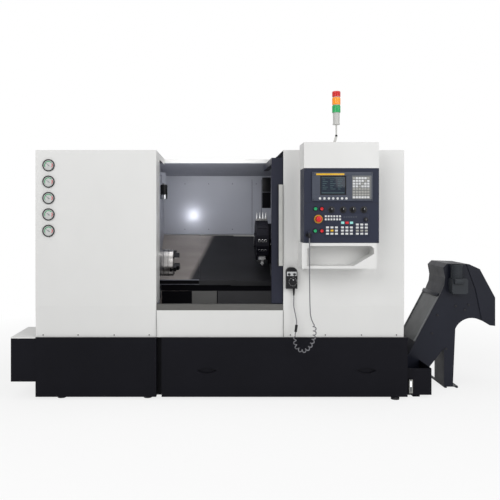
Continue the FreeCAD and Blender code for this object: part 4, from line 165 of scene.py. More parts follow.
def area_light(name, place, target, size, watts):
    """A soft rectangular lamp that looks at a target."""
    data = bpy.data.lights.new(name, "AREA")
    data.shape = "RECTANGLE"
    data.size, data.size_y = size
    data.energy = watts
    holder = put(name, data)
    holder.visible_camera = False
    holder.location = place
    holder.rotation_euler = (Vector(target) - Vector(place)).to_track_quat("-Z", "Y").to_euler()
    return holder


def lights():
    """The studio's lamps, and the work lamp's glare on the chamber's wall."""
    for lamp in LAMPS:
        area_light(*lamp)
    wall = high("chamber_liner").y - LINER_WALL
    for name, gap, size, watts in GLARES:
        place = Vector((GLARE_PLACE[0], wall - gap, GLARE_PLACE[1]))
        area_light(name, place, place + BACK, (size, size), watts).visible_glossy = False


def fill(tree, socket, value):
    """Link another node's output to an input, or set the input's value."""
    if isinstance(value, bpy.types.NodeSocket):
        tree.links.new(value, socket)
    else:
        socket.default_value = value


def add(tree, kind, inputs=(), **settings):
    """Add a node with its settings and inputs, and return its outputs."""
    made = tree.nodes.new("ShaderNode" + kind)
    for name, value in settings.items():
        setattr(made, name, value)
    for key, value in dict(inputs).items():
        fill(tree, made.inputs[key], value)
    return made.outputs


def reckon(tree, operation, first, second):
    """One value worked out from two."""
    return add(tree, "Math", {0: first, 1: second}, operation=operation)[0]


def bare_tree(owner):
    """The emptied node tree of a world or a material."""
    owner.use_nodes = True
    owner.node_tree.nodes.clear()
    return owner.node_tree


def world():
    """Even studio light, seen as white by the camera and through glass, and partly in gloss."""
    bpy.context.scene.world = bpy.data.worlds.new("studio")
    tree = bare_tree(bpy.context.scene.world)
    light = add(tree, "Background", {"Strength": WORLD_STRENGTH})[0]
    white = add(tree, "Background", {"Color": (1, 1, 1, 1)})[0]
    mixed = add(tree, "MixShader", {0: seen_directly(tree), 1: light, 2: white})[0]
    add(tree, "OutputWorld", {"Surface": mixed})


def seen_directly(tree):
    """One where a ray comes from the camera or passes through glass, and a share of it in gloss."""
    path = add(tree, "LightPath")
    through = reckon(tree, "MAXIMUM", path["Is Camera Ray"], path["Is Transmission Ray"])
    gloss = reckon(tree, "MULTIPLY", path["Is Glossy Ray"], GLOSS_SHARE)
    return reckon(tree, "MAXIMUM", through, gloss)


def floor():
    """A wide pale floor that keeps the machine's shadow and fades to white far from it."""
    mesh = bpy.data.meshes.new("floor")
    square = ((-1, -1), (1, -1), (1, 1), (-1, 1))
    mesh.from_pydata([(x * FLOOR_HALF, y * FLOOR_HALF, 0) for x, y in square], [], [(0, 1, 2, 3)])
    made = bpy.data.materials.new("floor")
    tree = bare_tree(made)
    where = add(tree, "TexCoord")["Object"]
    distance = add(tree, "VectorMath", {0: where}, operation="LENGTH")["Value"]
    fade = spread(tree, distance, FLOOR_GLOW, 1.0, *FLOOR_FADE)
    share = reckon(tree, "MULTIPLY", seen_directly(tree), fade)
    diffuse = add(tree, "BsdfDiffuse", {"Color": FLOOR_COLOUR})[0]
    mixed = add(tree, "MixShader", {0: share, 1: diffuse, 2: add(tree, "Emission")[0]})[0]
    add(tree, "OutputMaterial", {"Surface": mixed})
    mesh.materials.append(made)
    put("floor", mesh)


# ---------------- materials
SPECULAR = "Specular IOR Level"
# The guard plates' painted shadow edge, running back to the right, with a painted lit part on its left and
# painted shade on its right, and the blur of that edge.
GUARD_SHADOW_EDGE = (-0.575, 0.3115)
GUARD_SHADOW_BLUR = 0.022


def noise(tree, scale, stretch=(1, 1, 1), detail=4.0):
    """A noise over the object's own coordinates, stretched along some axes."""
    place = add(tree, "Mapping", {"Vector": add(tree, "TexCoord")["Object"], "Scale": stretch})[0]
    return add(tree, "TexNoise", {"Vector": place, "Scale": scale, "Detail": detail})["Fac"]


def spread(tree, source, low_value, high_value, start=0.3, end=0.7):
    """A value that goes from low to high while its source goes from start to end."""
    limits = {"From Min": start, "From Max": end, "To Min": low_value, "To Max": high_value}
    return add(tree, "MapRange", {"Value": source, **limits})["Result"]


def blend(tree, share, first, second):
    """Two colours mixed by a share."""
    return add(tree, "Mix", {"Factor": share, "A": first, "B": second}, data_type="RGBA")["Result"]


def shade(colour, factor):
    """A colour made lighter or darker."""
    return tuple(min(1.0, part * factor) for part in colour[:3]) + (1,)


def tinted(tree, source, colour, contrast):
    """A colour that varies a little with a noise."""
    return blend(tree, spread(tree, source, 0, 1), shade(colour, 1 - contrast), shade(colour, 1 + contrast))


def tint(colour, contrast, *settings):
    """The maker of a base colour that varies with a noise of these settings."""
    return lambda tree: tinted(tree, noise(tree, *settings), colour, contrast)


def surface(base, rough, bump=(), values=()):
    """A material from its base colour's maker and the noises of its roughness and relief."""
    made = bpy.data.materials.new("look")
    made.use_nodes = True
    tree = made.node_tree
    inputs = {**dict(values), "Base Color": base(tree)}
    inputs["Roughness"] = spread(tree, noise(tree, *rough[2:]), *rough[:2])
    if bump:
        relief = {"Strength": 1.0, "Distance": bump[0], "Height": noise(tree, *bump[1:])}
        inputs["Normal"] = add(tree, "Bump", relief)[0]
    for key, value in inputs.items():
        fill(tree, tree.nodes["Principled BSDF"].inputs[key], value)
    return made


def paint(colour, rough=0.38, peel=0.00004, contrast=0.03, metallic=0.0, gloss=0.5):
    """Sprayed paint with a faint orange peel, uneven gloss and slight wiping marks."""
    return surface(tint(colour, contrast, 2.2, (1, 1, 0.6)), (rough - 0.06, rough + 0.08, 9), (peel, 420),
                   {SPECULAR: gloss, "Metallic": metallic})


def metal(colour, rough=0.3, stretch=(1, 60, 60), relief=0.00003, contrast=0.12):
    """Bare metal with fine lines along the axis that isn't stretched."""
    lines = (14, stretch, 6.0)
    return surface(tint(colour, contrast, *lines), (rough - 0.1, rough + 0.12, *lines), (relief, *lines),
                   {"Metallic": 1.0})


def plastic(colour, rough=0.45, grain=0.00003, contrast=0.05, gloss=0.4):
    """Moulded plastic with a fine grain."""
    return surface(tint(colour, contrast, 18), (rough - 0.06, rough + 0.06, 900), (grain, 900),
                   {SPECULAR: gloss})


def casting(colour, rough=0.6, gloss=0.3):
    """A painted casting with a sandy skin."""
    return surface(tint(colour, 0.12, 7), (rough - 0.1, rough + 0.1, 30), (0.0004, 160), {SPECULAR: gloss})


def glassy(colour, rough, transmission, glow=0.0, gloss=0.5):
    """Clear or tinted plastic or glass with faint smears."""
    values = {SPECULAR: gloss, "Transmission Weight": transmission}
    values.update({"Emission Color": shade(colour, 1), "Emission Strength": glow})
    return surface(tint(colour, 0.04, 6), (rough, rough + 0.06, 6), values=values)


def guard_colour_with_painted_shade(tree, pale, dark):
    """The guard plates' colour with painted light and shade: paler on the left as a painted lit part, up to a
    painted shadow edge that runs back to the right, and darker beyond it as painted shade.
    """
    where = add(tree, "TexCoord")["Object"]
    slant = {0: where, 1: (1, -GUARD_SHADOW_EDGE[1], 0)}
    across = add(tree, "VectorMath", slant, operation="DOT_PRODUCT")["Value"]
    side = spread(tree, across, 0, 1, *about(GUARD_SHADOW_EDGE[0], GUARD_SHADOW_BLUR))
    wide = noise(tree, 3.5, (1, 2.5, 2.5))
    # pale is the painted lit tone, dark the painted shade.
    return blend(tree, side, tinted(tree, wide, pale, 0.12), tinted(tree, wide, dark, 0.15))


def guard_plates_with_painted_shade(pale, dark):
    """Oiled guard plates, with painted light and shade in their colour."""
    return surface(lambda tree: guard_colour_with_painted_shade(tree, pale, dark), (0.34, 0.42, 7), (0.00001, 30, (1, 12, 12)))


MATERIALS = {
    "white": paint((0.71, 0.71, 0.70), 0.36, contrast=0.02),
    "lid": paint((0.74, 0.74, 0.73), 0.4, contrast=0.03),
    "base": paint((0.0058, 0.0058, 0.0088), 0.42, 0.00004, 0.12, gloss=0.1),
    "door": paint((0.020, 0.022, 0.037), 0.36, contrast=0.06, gloss=0.2),
    "navy": paint((0.026, 0.030, 0.050), 0.5, 0.00012, 0.06, gloss=0.15),
    "bezel": plastic((0.064, 0.072, 0.096), 0.5, gloss=0.2),
    "conveyor": paint((0.0080, 0.0095, 0.0180), 0.36, 0.00008, 0.12, gloss=0.25),
    "liner": paint((0.38, 0.395, 0.455), 0.34, 0.00001, 0.04, metallic=0.1),
    # Its pale tone is painted light and its dark tone is painted shade, split by a painted shadow edge.
    "guard": guard_plates_with_painted_shade((0.32, 0.29, 0.275), (0.020, 0.020, 0.023)),
    "sill": metal((0.145, 0.143, 0.137), 0.45, (1, 50, 50)),
    "cover_plate": paint((0.13, 0.135, 0.14), 0.4, 0.00006, 0.15),
    "steel": metal((0.60, 0.58, 0.57), 0.26, (60, 1, 1), 0.00001, 0.06),
    "ground": metal((0.60, 0.60, 0.60), 0.25, (1, 60, 60)),
    "black_steel": metal((0.045, 0.045, 0.05), 0.4, (30, 30, 1)),
    "cast": casting((0.20, 0.21, 0.22)),
    "dark_cast": casting((0.012, 0.012, 0.018), 0.5, gloss=0.15),
    "motor": casting((0.024, 0.028, 0.034), 0.5),
    "pale": plastic((0.52, 0.52, 0.50)),
    "handle": plastic((0.50, 0.50, 0.48), 0.35),
    "black": plastic((0.010, 0.010, 0.012), 0.4, gloss=0.25),
    "belt": plastic((0.02, 0.02, 0.02), 0.7, 0.0002),
    "cord": plastic((0.17, 0.17, 0.185), 0.42),
    "red": plastic((0.62, 0.012, 0.02), 0.28),
    "yellow": plastic((0.72, 0.42, 0.02), 0.35),
    "ring": plastic((0.52, 0.25, 0.02), 0.4),
    "green": plastic((0.01, 0.33, 0.12), 0.3),
    "key": plastic((0.62, 0.63, 0.64), 0.45),
    "dim_key": plastic((0.33, 0.33, 0.31), 0.45),
    "key_sheet": plastic((0.13, 0.135, 0.14), 0.45),
    "cyan": plastic((0.30, 0.70, 0.66), 0.4),
    "teal": glassy((0.035, 0.075, 0.085), 0.3, 0.0, 0.12),
    "screen": glassy((0.022, 0.030, 0.045), 0.10, 0.0, gloss=0.2),
    "window": glassy((0.55, 0.60, 0.62), 0.02, 0.92),
    "dial": plastic((0.56, 0.57, 0.56), 0.5),
    "chrome": metal((0.42, 0.43, 0.45), 0.15, (1, 1, 1), 0.00001, 0.04),
    "bright_ring": metal((0.80, 0.80, 0.80), 0.3, (1, 1, 1), 0.00001, 0.04),
    "red_lens": glassy((0.66, 0.03, 0.03), 0.12, 0.2, 0.12),
    "amber_lens": glassy((0.90, 0.34, 0.02), 0.12, 0.2, 0.18),
    "green_lens": glassy((0.02, 0.42, 0.12), 0.12, 0.2, 0.12),
    "chute_pale": paint((0.20, 0.20, 0.195), 0.4, 0.0001, 0.15, gloss=0.3),
    "chute_dark": paint((0.075, 0.075, 0.080), 0.4, 0.0001, 0.15, gloss=0.3),
    # A near-black sheet that is painted shade: in an opening, a recess, a gap between panels, under the
    # guard's lip and on the bed's edge.
    "painted_shade_black": paint((0.006, 0.006, 0.008), 0.6, 0.0001, 0.2, gloss=0.05),
    # Glowing glass: on the work lamp's lens the glow is the lamp's; on the tank's sight glass it is a painted
    # glow.
    "lamp_glow_and_painted_glow_glass": glassy((0.85, 0.88, 0.92), 0.1, 0.3, 0.8),
}

NODE_LOOKS = {
    "white": "left_cover right_cover roof_cover lower_front_panel pendant_housing cabinet_shell cabinet_door",
    "lid": "side_box_lid",
    "base": "left_skirt front_skirt side_box coolant_tank",
    "door": "door_frame",
    "navy": "operator_panel",
    "bezel": "display_unit key_field",
    "conveyor": "conveyor_body",
    "liner": "chamber_liner",
    "guard": "way_guard_saddle way_guard_middle chip_chute",
    "sill": "door_sill",
    "cover_plate": "conveyor_cover",
    "steel": "spindle chuck_body motor_pulley z_screw",
    "ground": "tool_holders conveyor_shaft levelling_feet",
    "black_steel": "chuck_jaw_1 chuck_jaw_2 chuck_jaw_3",
    "cast": "bed_casting headstock saddle",
    "dark_cast": "turret_disc turret_housing cross_slide",
    "motor": "spindle_motor conveyor_gear_motor",
    "pale": "tower_stand lamp_head",
    "handle": "door_handle",
    "black": "handset_body handset_wheel rotary_knob_1 rotary_knob_2 rotary_knob_3 rotary_knob_4",
    "belt": "drive_belt",
    "cord": "handset_cord",
    "red": "power_off_button feed_hold_button estop_button",
    "green": "power_on_button cycle_start_button",
    "window": "door_window",
    "dial": "pressure_gauges",
    "amber_lens": "tower_lenses",
}


def dress_nodes():
    """Every material gets its look's name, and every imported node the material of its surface."""
    for look, made in MATERIALS.items():
        made.name = look
    for look, names in NODE_LOOKS.items():
        for name in names.split():
            for slot in NODES[name].material_slots:
                slot.material = MATERIALS[look]


# ---------------- modelling
MARK = 0.0004
SHARP_ANGLE = 32
# A screw's and a bolt's head, as (width, height) in shares of the radius, with the socket's share and sides.
SCREW = (((1, 0), (1, 0.35), (0.75, 0.62), (0.45, 0.66)), 0.4, 20)
BOLT = (((1, 0), (1, 0.5), (0.88, 0.62), (0.5, 0.62)), 0.48, 24)


class Piece:
    """One modelled piece: a mesh gathered from simple shapes, each in its own material."""

    def __init__(self, name):
        self.name = name
        self.mesh = bmesh.new()
        self.looks = []

    def take(self, made, look):
        """Add a shape's faces in one material."""
        if look not in self.looks:
            self.looks.append(look)
        bmesh.ops.recalc_face_normals(made, faces=made.faces[:])
        for face in made.faces:
            face.material_index = self.looks.index(look)
            face.smooth = True
        data = bpy.data.meshes.new("shape")
        made.to_mesh(data)
        made.free()
        self.mesh.from_mesh(data)
        bpy.data.meshes.remove(data)

    def block(self, start, end, look, bevel=0.0):
        """A block between two corners, with rounded edges."""
        made = bmesh.new()
        bmesh.ops.create_cube(made, size=1)
        for vertex in made.verts:
            share = vertex.co + Vector((0.5, 0.5, 0.5))
            vertex.co = Vector(a + (b - a) * part for a, b, part in zip(Vector(start), Vector(end), share))
        self.rounded(made, bevel)
        self.take(made, look)

    def strip(self, x, half, depths, levels, look, bevel=0.0):
        """A block as wide on both sides of x, between two depths and two levels."""
        self.block((x - half, depths[0], levels[0]), (x + half, depths[1], levels[1]), look, bevel)

    def rounded(self, made, bevel):
        """Round all edges of a shape."""
        if bevel:
            bmesh.ops.bevel(made, geom=made.edges[:], offset=bevel, segments=2, profile=0.5, affect="EDGES")

    def rod(self, start, end, radius, look, end_radius=None, sides=32):
        """A round bar or cone between two points."""
        made = bmesh.new()
        axis = Vector(end) - Vector(start)
        turn = axis.to_track_quat("Z", "Y").to_matrix().to_4x4()
        bmesh.ops.create_cone(
            made, cap_ends=True, segments=sides, radius1=radius, depth=axis.length,
            radius2=radius if end_radius is None else end_radius,
            matrix=Matrix.Translation(Vector(start) + axis / 2) @ turn)
        self.take(made, look)

    def turned(self, place, axis, profile, look, sides=48):
        """A (radius, height) profile turned round an axis."""
        made = bmesh.new()
        turn = Vector(axis).to_track_quat("Z", "Y").to_matrix()
        rings = []
        for radius, height in profile:
            ring = []
            for index in range(sides):
                angle = 2 * math.pi * index / sides
                spot = Vector((radius * math.cos(angle), radius * math.sin(angle), height))
                ring.append(made.verts.new(Vector(place) + turn @ spot))
            rings.append(ring)
        for first, second in zip(rings, rings[1:]):
            for index in range(sides):
                after = (index + 1) % sides
                made.faces.new((first[index], first[after], second[after], second[index]))
        made.faces.new(rings[0])
        made.faces.new(rings[-1])
        self.take(made, look)

    def prism(self, outline, along, look, bevel=0.0):
        """A flat outline of points, pushed along a direction."""
        made = bmesh.new()
        face = made.faces.new([made.verts.new(point) for point in outline])
        pushed = bmesh.ops.extrude_face_region(made, geom=[face])["geom"]
        moved = [item for item in pushed if isinstance(item, bmesh.types.BMVert)]
        bmesh.ops.translate(made, verts=moved, vec=Vector(along))
        self.rounded(made, bevel)
        self.take(made, look)

    def arc_band(self, place, radii, angles, look, steps=16):
        """A flat band on a circle that faces the front, between two radii and two angles."""
        outline = []
        for radius, shares in ((radii[0], range(steps + 1)), (radii[1], range(steps, -1, -1))):
            for share in shares:
                degrees = angles[0] + (angles[1] - angles[0]) * share / steps
                outline.append(place + facing(degrees) * radius)
        self.prism(outline, FRONT * MARK, look)

    def tick(self, centre, out, reach, half, look):
        """A thin mark on a front face, between two distances along a direction."""
        side = Vector((out.z, 0, -out.x)) * half
        near, far = (centre + out * distance for distance in reach)
        self.prism([near - side, far - side, far + side, near + side], FRONT * MARK, look)

    def flutes(self, foot, radius, count, reach, flute, sides):
        """Small ribs round a knob's rim."""
        for index in range(count):
            spot = foot + facing(360 * index / count) * radius
            self.rod(spot + FRONT * 0.0015, spot + FRONT * reach, flute, "black", sides=sides)

    def screw(self, place, axis, radius, kind=SCREW):
        """A screw's round head with a hexagon socket."""
        shape, socket, sides = kind
        profile = [(radius * wide, radius * tall) for wide, tall in shape]
        self.turned(place, axis, profile, "black_steel", sides)
        top = Vector(place) + axis * radius * shape[-1][1]
        self.rod(top, top + axis * 0.0002, radius * socket, "black", sides=6)

    def screws(self, places, axis, radius):
        """A screw's head at each place that some x, y and z make together."""
        for place in product(*places):
            self.screw(place, axis, radius)

    def done(self, body, stands_for=()):
        """Make the object, let it ride on a body and hide the nodes it stands for."""
        data = bpy.data.meshes.new(self.name)
        self.mesh.to_mesh(data)
        self.mesh.free()
        for look in self.looks:
            data.materials.append(MATERIALS[look])
        data.set_sharp_from_angle(angle=math.radians(SHARP_ANGLE))
        holder = put(self.name, data)
        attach(holder, body)
        if stands_for:
            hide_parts(*stands_for)
        return holder


# ---------------- the handset's curly lead
CORD_RADIUS = 0.00375
CORD_POINTS = (
    (0.301, -0.9355, 1.175),
    (0.302, -0.9325, 0.69),
    (0.314, -0.9245, 0.625),
    (0.345, -0.8985, 0.56),
    (0.345, -0.8665, 0.48),
    (0.318, -0.8335, 0.405),
    (0.272, -0.7985, 0.37),
    (0.228, -0.7635, 0.395),
    (0.222, -0.7365, 0.45),
    (0.236, -0.7205, 0.515),
    (0.243, -0.7105, 0.57),
    (0.232, -0.7025, 0.625),
    (0.221, -0.6975, 0.68),
    (0.223, -0.6955, 0.72),
    (0.223, -0.6955, 0.756),
)
CURL_FIRST_RUN = 2
CURL_LAST_RUN = 8
CURL_COUNT = 12
CURL_STEPS = 14
CURL_RADIUS = 0.01
SLEEVE_LEVELS = (0.497, 0.551)
SLEEVE_RADIUS = 0.0098
SLEEVE_END = 0.003
RISING_SIDE = 0.26


def spline_object(name, points, radius):
    """A curve of the third order that ends on its first and last points."""
    data = bpy.data.curves.new(name, "CURVE")
    data.dimensions = "3D"
    data.bevel_depth = radius
    data.bevel_resolution = 3
    data.use_fill_caps = radius > 0
    spline = data.splines.new("NURBS")
    spline.points.add(len(points) - 1)
    for target, point in zip(spline.points, points):
        target.co = (*point, 1)
    spline.order_u = 3
    spline.resolution_u = 3 if radius else 12
    spline.use_endpoint_u = True
    return put(name, data)


def route_line():
    """The lead's route as a fine line of points."""
    holder = spline_object("route", CORD_POINTS, 0)
    line = bpy.data.meshes.new_from_object(holder)
    points = [vertex.co.copy() for vertex in line.vertices]
    bpy.data.meshes.remove(line)
    curve = holder.data
    bpy.data.objects.remove(holder)
    bpy.data.curves.remove(curve)
    return points


def curled_stretch():
    """The part of the route between the middles of the first and the last curled run."""
    line = route_line()
    ends = []
    for run in (CURL_FIRST_RUN, CURL_LAST_RUN):
        target = (Vector(CORD_POINTS[run]) + Vector(CORD_POINTS[run + 1])) / 2
        ends.append(min(range(len(line)), key=lambda index: (line[index] - target).length))
    return line[ends[0]:ends[1] + 1]


def along_line(line, distances, distance):
    """The place and direction at a distance along a line."""
    index = min(max(bisect_left(distances, distance), 1), len(line) - 1)
    step = line[index] - line[index - 1]
    share = (distance - distances[index - 1]) / (distances[index] - distances[index - 1])
    return line[index - 1] + step * share, step.normalized()


def curls():
    """The points of the curls, whose radius rises over the first curl and falls over the last."""
    line = curled_stretch()
    distances = [0.0, *accumulate((after - before).length for before, after in zip(line, line[1:]))]
    count = CURL_COUNT * CURL_STEPS
    made = []
    for index in range(count + 1):
        share = index / count
        place, along = along_line(line, distances, distances[-1] * share)
        side = (BACK - along * along.y).normalized()
        ramp = min(1.0, CURL_COUNT * share, CURL_COUNT * (1 - share))
        radius = CURL_RADIUS * ramp * ramp * (3 - 2 * ramp)
        angle = 2 * math.pi * CURL_COUNT * share
        made.append(place + (side * math.cos(angle) + along.cross(side) * math.sin(angle)) * radius)
    return made


def handset_lead():
    """The handset's lead: plain from the panel's gland, curled below, with a black sleeve."""
    before = [Vector(point) for point in CORD_POINTS[:CURL_FIRST_RUN + 1]]
    after = [Vector(point) for point in CORD_POINTS[CURL_LAST_RUN + 1:]]
    lead = spline_object("handset_lead", before + curls() + after, CORD_RADIUS)
    lead.data.materials.append(MATERIALS["cord"])
    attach(lead, "machine")
    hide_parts("handset_cord")
    lead_sleeve()


def lead_sleeve():
    """The black sleeve on the lead's rising side."""
    foot, head = SLEEVE_LEVELS
    line = [point for point in route_line() if foot < point.z < head and point.x < RISING_SIDE]
    along = line[-1] - line[0]
    narrow = SLEEVE_RADIUS * 0.8
    rings = [(narrow, 0), (SLEEVE_RADIUS, SLEEVE_END), (SLEEVE_RADIUS, along.length - SLEEVE_END),
             (narrow, along.length)]
    sleeve = Piece("lead_sleeve")
    sleeve.turned(line[0], along, rings, "black")
    return sleeve.done("machine")


# ---------------- gauges and signal tower
GAUGE_COUNT = 5
GAUGE_ARCS = ((-120, 48, "green"), (62, 122, "red"))
DIAL_TICKS = 25
DIAL_SWEEP = 135.0
POINTER_ANGLE = -52
LENS_RIBS = 9
LENS_RIB = ((1, 0.25), (1, 0.65), (0.965, 0.95))
LENS_SHARES = (("green_lens", 0.0, 0.36), ("amber_lens", 0.36, 0.72), ("red_lens", 0.72, 1.0))


def gauges():
    """The column of five panel gauges, each with its case behind the cover."""
    start, end, _, radius = measures("pressure_gauges")
    pitch = (end.z - start.z - 2 * radius) / (GAUGE_COUNT - 1)
    piece = Piece("gauge_column")
    for index in range(GAUGE_COUNT):
        centre = Vector((start.x + radius, Y_FRONT, start.z + radius + pitch * index))
        gauge(piece, centre, radius, Y_FRONT - start.y)
        piece.rod((centre.x, end.y, centre.z), centre, radius * 0.8, "black_steel")
    piece.done("machine", ("pressure_gauges",))


def gauge(piece, centre, radius, reach):
    """One gauge on a front face: bezel, dial with coloured arcs and plain ticks, pointer and its hub."""
    ring = [(radius, 0), (radius, reach * 0.55), (radius * 0.96, reach), (radius * 0.86, reach),
            (radius * 0.83, reach * 0.45), (radius * 0.5, reach * 0.4)]
    piece.turned(centre, FRONT, ring, "black")
    face = centre + FRONT * reach * 0.42
    piece.turned(face, FRONT, [(radius * 0.835, 0), (radius * 0.82, 0.001)], "dial")
    face = face + FRONT * 0.001
    for start, end, look in GAUGE_ARCS:
        piece.arc_band(face, (radius * 0.56, radius * 0.68), (start, end), look)
    for index in range(DIAL_TICKS):
        out = facing(-DIAL_SWEEP + 2 * DIAL_SWEEP * index / (DIAL_TICKS - 1))
        inner, half = (0.74, 0.0005) if index % 4 else (0.7, 0.0009)
        piece.tick(face, out, (radius * inner, radius * 0.79), half, "black")
    out = facing(POINTER_ANGLE)
    side = Vector((out.z, 0, -out.x)) * 0.0016
    tail = face + FRONT * 0.0015 - out * 0.01
    piece.prism([tail - side, tail + out * (0.01 + radius * 0.66), tail + side], FRONT * 0.0008, "black")
    piece.turned(face, FRONT, [(0.0045, 0), (0.0045, 0.003), (0.003, 0.004)], "chrome", 24)


def lenses():
    """The stacked lens modules with moulded ribs, each on a pale joint ring."""
    start, end, middle, radius = measures("tower_lenses")
    height = end.z - start.z
    piece = Piece("tower_lens_stack")
    for look, bottom, top in LENS_SHARES:
        foot = Vector((middle.x, middle.y, start.z + height * bottom))
        tall = height * (top - bottom)
        piece.turned(foot, UP, [(radius * 0.86, 0), (radius * 0.86, 0.004)], "pale")
        pitch = (tall - 0.01) / LENS_RIBS
        rib = [(radius * wide, 0.0055 + pitch * share) for wide, share in LENS_RIB]
        ribs = [(radius * 0.94, 0.004), *repeated(LENS_RIBS, (0, pitch), *rib)]
        piece.turned(foot, UP, ribs + [(radius * 0.94, tall - 0.002), (radius * 0.8, tall)], look, 64)
    piece.done("machine", ("tower_lenses",))


def tower_mount():
    """The tower's cranked bracket, its round pole, the flange and the flared base."""
    start, _, middle, _ = measures("tower_stand")
    lens_low, _, _, radius = measures("tower_lenses")
    x = lens_low.x + radius
    y = middle.y
    foot = start.z
    piece = Piece("tower_mount")
    piece.block((x - 0.03, y - 0.018, foot), (x + 0.006, y + 0.018, foot + 0.005), "pale", 0.0012)
    crank = [Vector((x + across, y - 0.007, foot + level)) for across, level in (
        (-0.022, 0.004), (-0.004, 0.004), (0.008, 0.05), (-0.008, 0.05))]
    piece.prism(crank, BACK * 0.014, "pale", 0.0015)
    place = Vector((x, y, foot))
    piece.turned(place, UP, [(0.0054, 0.046), (0.0054, 0.1305)], "pale", 32)
    piece.turned(place, UP, [(0.0085, 0.048), (0.0085, 0.056), (0.006, 0.06)], "black", 32)
    base = inset(radius, (0.006, 0.13), (0.004, 0.1312), (0.004, 0.1378), (0.0065, 0.139), (0.0068, 0.141),
                 (0.0052, 0.204), (0.005, 0.21))
    piece.turned(place, UP, base, "pale", 64)
    piece.done("machine", ("tower_stand",))


# ---------------- operator panel
PANEL_LOW, PANEL_HIGH = corners("operator_panel")
PANEL_FACE = low("pendant_housing").y
PANEL_PLATE = 0.004
STEM_BACK = -PANEL_PLATE - 0.0005
PANEL_SEAM = (0.2365, 0.2377)
BEZEL_ACROSS = (0.0545, 0.469)
BEZEL_BELOW = (0.027, 0.225)
BEZEL_REACH = 0.01
SCREEN_ACROSS = (0.109, 0.287)
SCREEN_BELOW = (0.054, 0.184)
SCREEN_INSET = 0.007
STRIP_ACROSS = (0.082, 0.274)
STRIP_BELOW = (0.037, 0.049)
SOFT_KEYS = 7
DATA_KEYS = (6, 8)
SHEET_REACH = 0.0015
# Each block of keys: its first key's place, pitch, count, key size, reach, look, and the keys that differ.
KEY_BLOCKS = (
    ((0.148, 0.33), (0.0195, 0.021), (6, 2), (0.013, 0.013), 0.0038, "key", {}),
    ((0.16, 0.406), (0.0305, 0.0215), (3, 3), (0.02, 0.013), 0.0038, "key", {(1, 1): "yellow"}),
    ((0.262, 0.406), (0.0305, 0.0215), (3, 3), (0.02, 0.013), 0.0038, "key", {}),
    ((0.364, 0.386), (0.0305, 0.021), (3, 4), (0.02, 0.013), 0.0038, "key",
     {(column, 2): "dim_key" for column in range(3)}),
    ((0.264, 0.374), (0.03, 0.02), (3, 1), (0.022, 0.016), 0.0038, "cyan", {(1, 0): "red"}),
    ((0.275, 0.335), (0.016, 0.02), (6, 1), (0.01, 0.012), 0.0028, "bezel", {}),
)
# Each push-button's node, body, look and slot.
BUTTONS = (
    ("power_on_button", "power_on", "green", "green_plastic"),
    ("power_off_button", "power_off", "red", "red_plastic"),
    ("cycle_start_button", "cycle_start", "green", "green_plastic"),
    ("feed_hold_button", "feed_hold", "red", "red_plastic"),
)
KNOB_COUNT = 4
KNOB_FLUTES = 20
DIAL_PLACES = (0.187, 0.267, 0.334, 0.409)
DIAL_BELOW = 0.285


def panel_place(across, below):
    """A place on the operator panel, in metres from its top left corner."""
    return Vector((PANEL_LOW.x + across, PANEL_FACE, PANEL_HIGH.z - below))


def panel_block(piece, across, below, reach, look, bevel=0.001, back=0.0):
    """A block on the panel between two distances across and two below its top left corner."""
    start = panel_place(across[0], below[1])
    end = panel_place(across[1], below[0])
    piece.block(start + FRONT * reach, end + BACK * (0.0005 - back), look, bevel)


def key_grid(piece, first, pitch, count, size, reach, look_at, back):
    """Keys in rows and columns; look_at gives each one's material."""
    for row, column in product(range(count[1]), range(count[0])):
        spans = []
        for start, step, number, wide in zip(first, pitch, (column, row), size):
            spans.append(about(start + step * number, wide / 2))
        panel_block(piece, *spans, reach, look_at(column, row), 0.0012, back)


def display():
    """The display: a bezel of four bars round a sunk screen, a plain strip and the keys."""
    piece = Piece("display_panel")
    bars = ((BEZEL_ACROSS, (BEZEL_BELOW[0], SCREEN_BELOW[0]), 0.0015),
            (BEZEL_ACROSS, (SCREEN_BELOW[1], BEZEL_BELOW[1]), 0.0015),
            ((BEZEL_ACROSS[0], SCREEN_ACROSS[0]), SCREEN_BELOW, 0),
            ((SCREEN_ACROSS[1], BEZEL_ACROSS[1]), SCREEN_BELOW, 0))
    for across, below, bevel in bars:
        panel_block(piece, across, below, BEZEL_REACH, "bezel", bevel)
    panel_block(piece, SCREEN_ACROSS, SCREEN_BELOW, 0.003, "black", 0)
    glass = [(start + SCREEN_INSET, end - SCREEN_INSET) for start, end in (SCREEN_ACROSS, SCREEN_BELOW)]
    panel_block(piece, *glass, 0.0042, "screen", 0.0008)
    screen_marks(piece, *glass)
    panel_block(piece, STRIP_ACROSS, STRIP_BELOW, BEZEL_REACH + 0.0006, "yellow", 0.0004)
    soft_key = [(0.0082, 0), (0.0082, 0.0013), (0.0068, 0.002), (0.003, 0.002)]
    for index in range(SOFT_KEYS):
        place = panel_place(0.108 + 0.03 * index, 0.208) + FRONT * BEZEL_REACH
        piece.turned(place, FRONT, soft_key, "key", 28)
    panel_block(piece, (0.327, 0.459), (0.052, 0.213), BEZEL_REACH + 0.0006, "key_sheet", 0.0004)
    key_grid(piece, (0.339, 0.07), (0.0196, 0.0186), DATA_KEYS, (0.0162, 0.0142), BEZEL_REACH + 0.002,
             data_key_look, BEZEL_REACH)
    for across, below in product((0.0615, 0.462), (0.034, 0.218)):
        piece.screw(panel_place(across, below) + FRONT * BEZEL_REACH, FRONT, 0.0033)
    piece.done("machine", ("display_unit",))


def data_key_look(column, row):
    """Pale keys with a few grey ones above, grey ones below and pale ones in the last row."""
    grey = row < DATA_KEYS[1] - 1 and (row > 3 or (column + row) % 5 == 0)
    return "dim_key" if grey else "key"


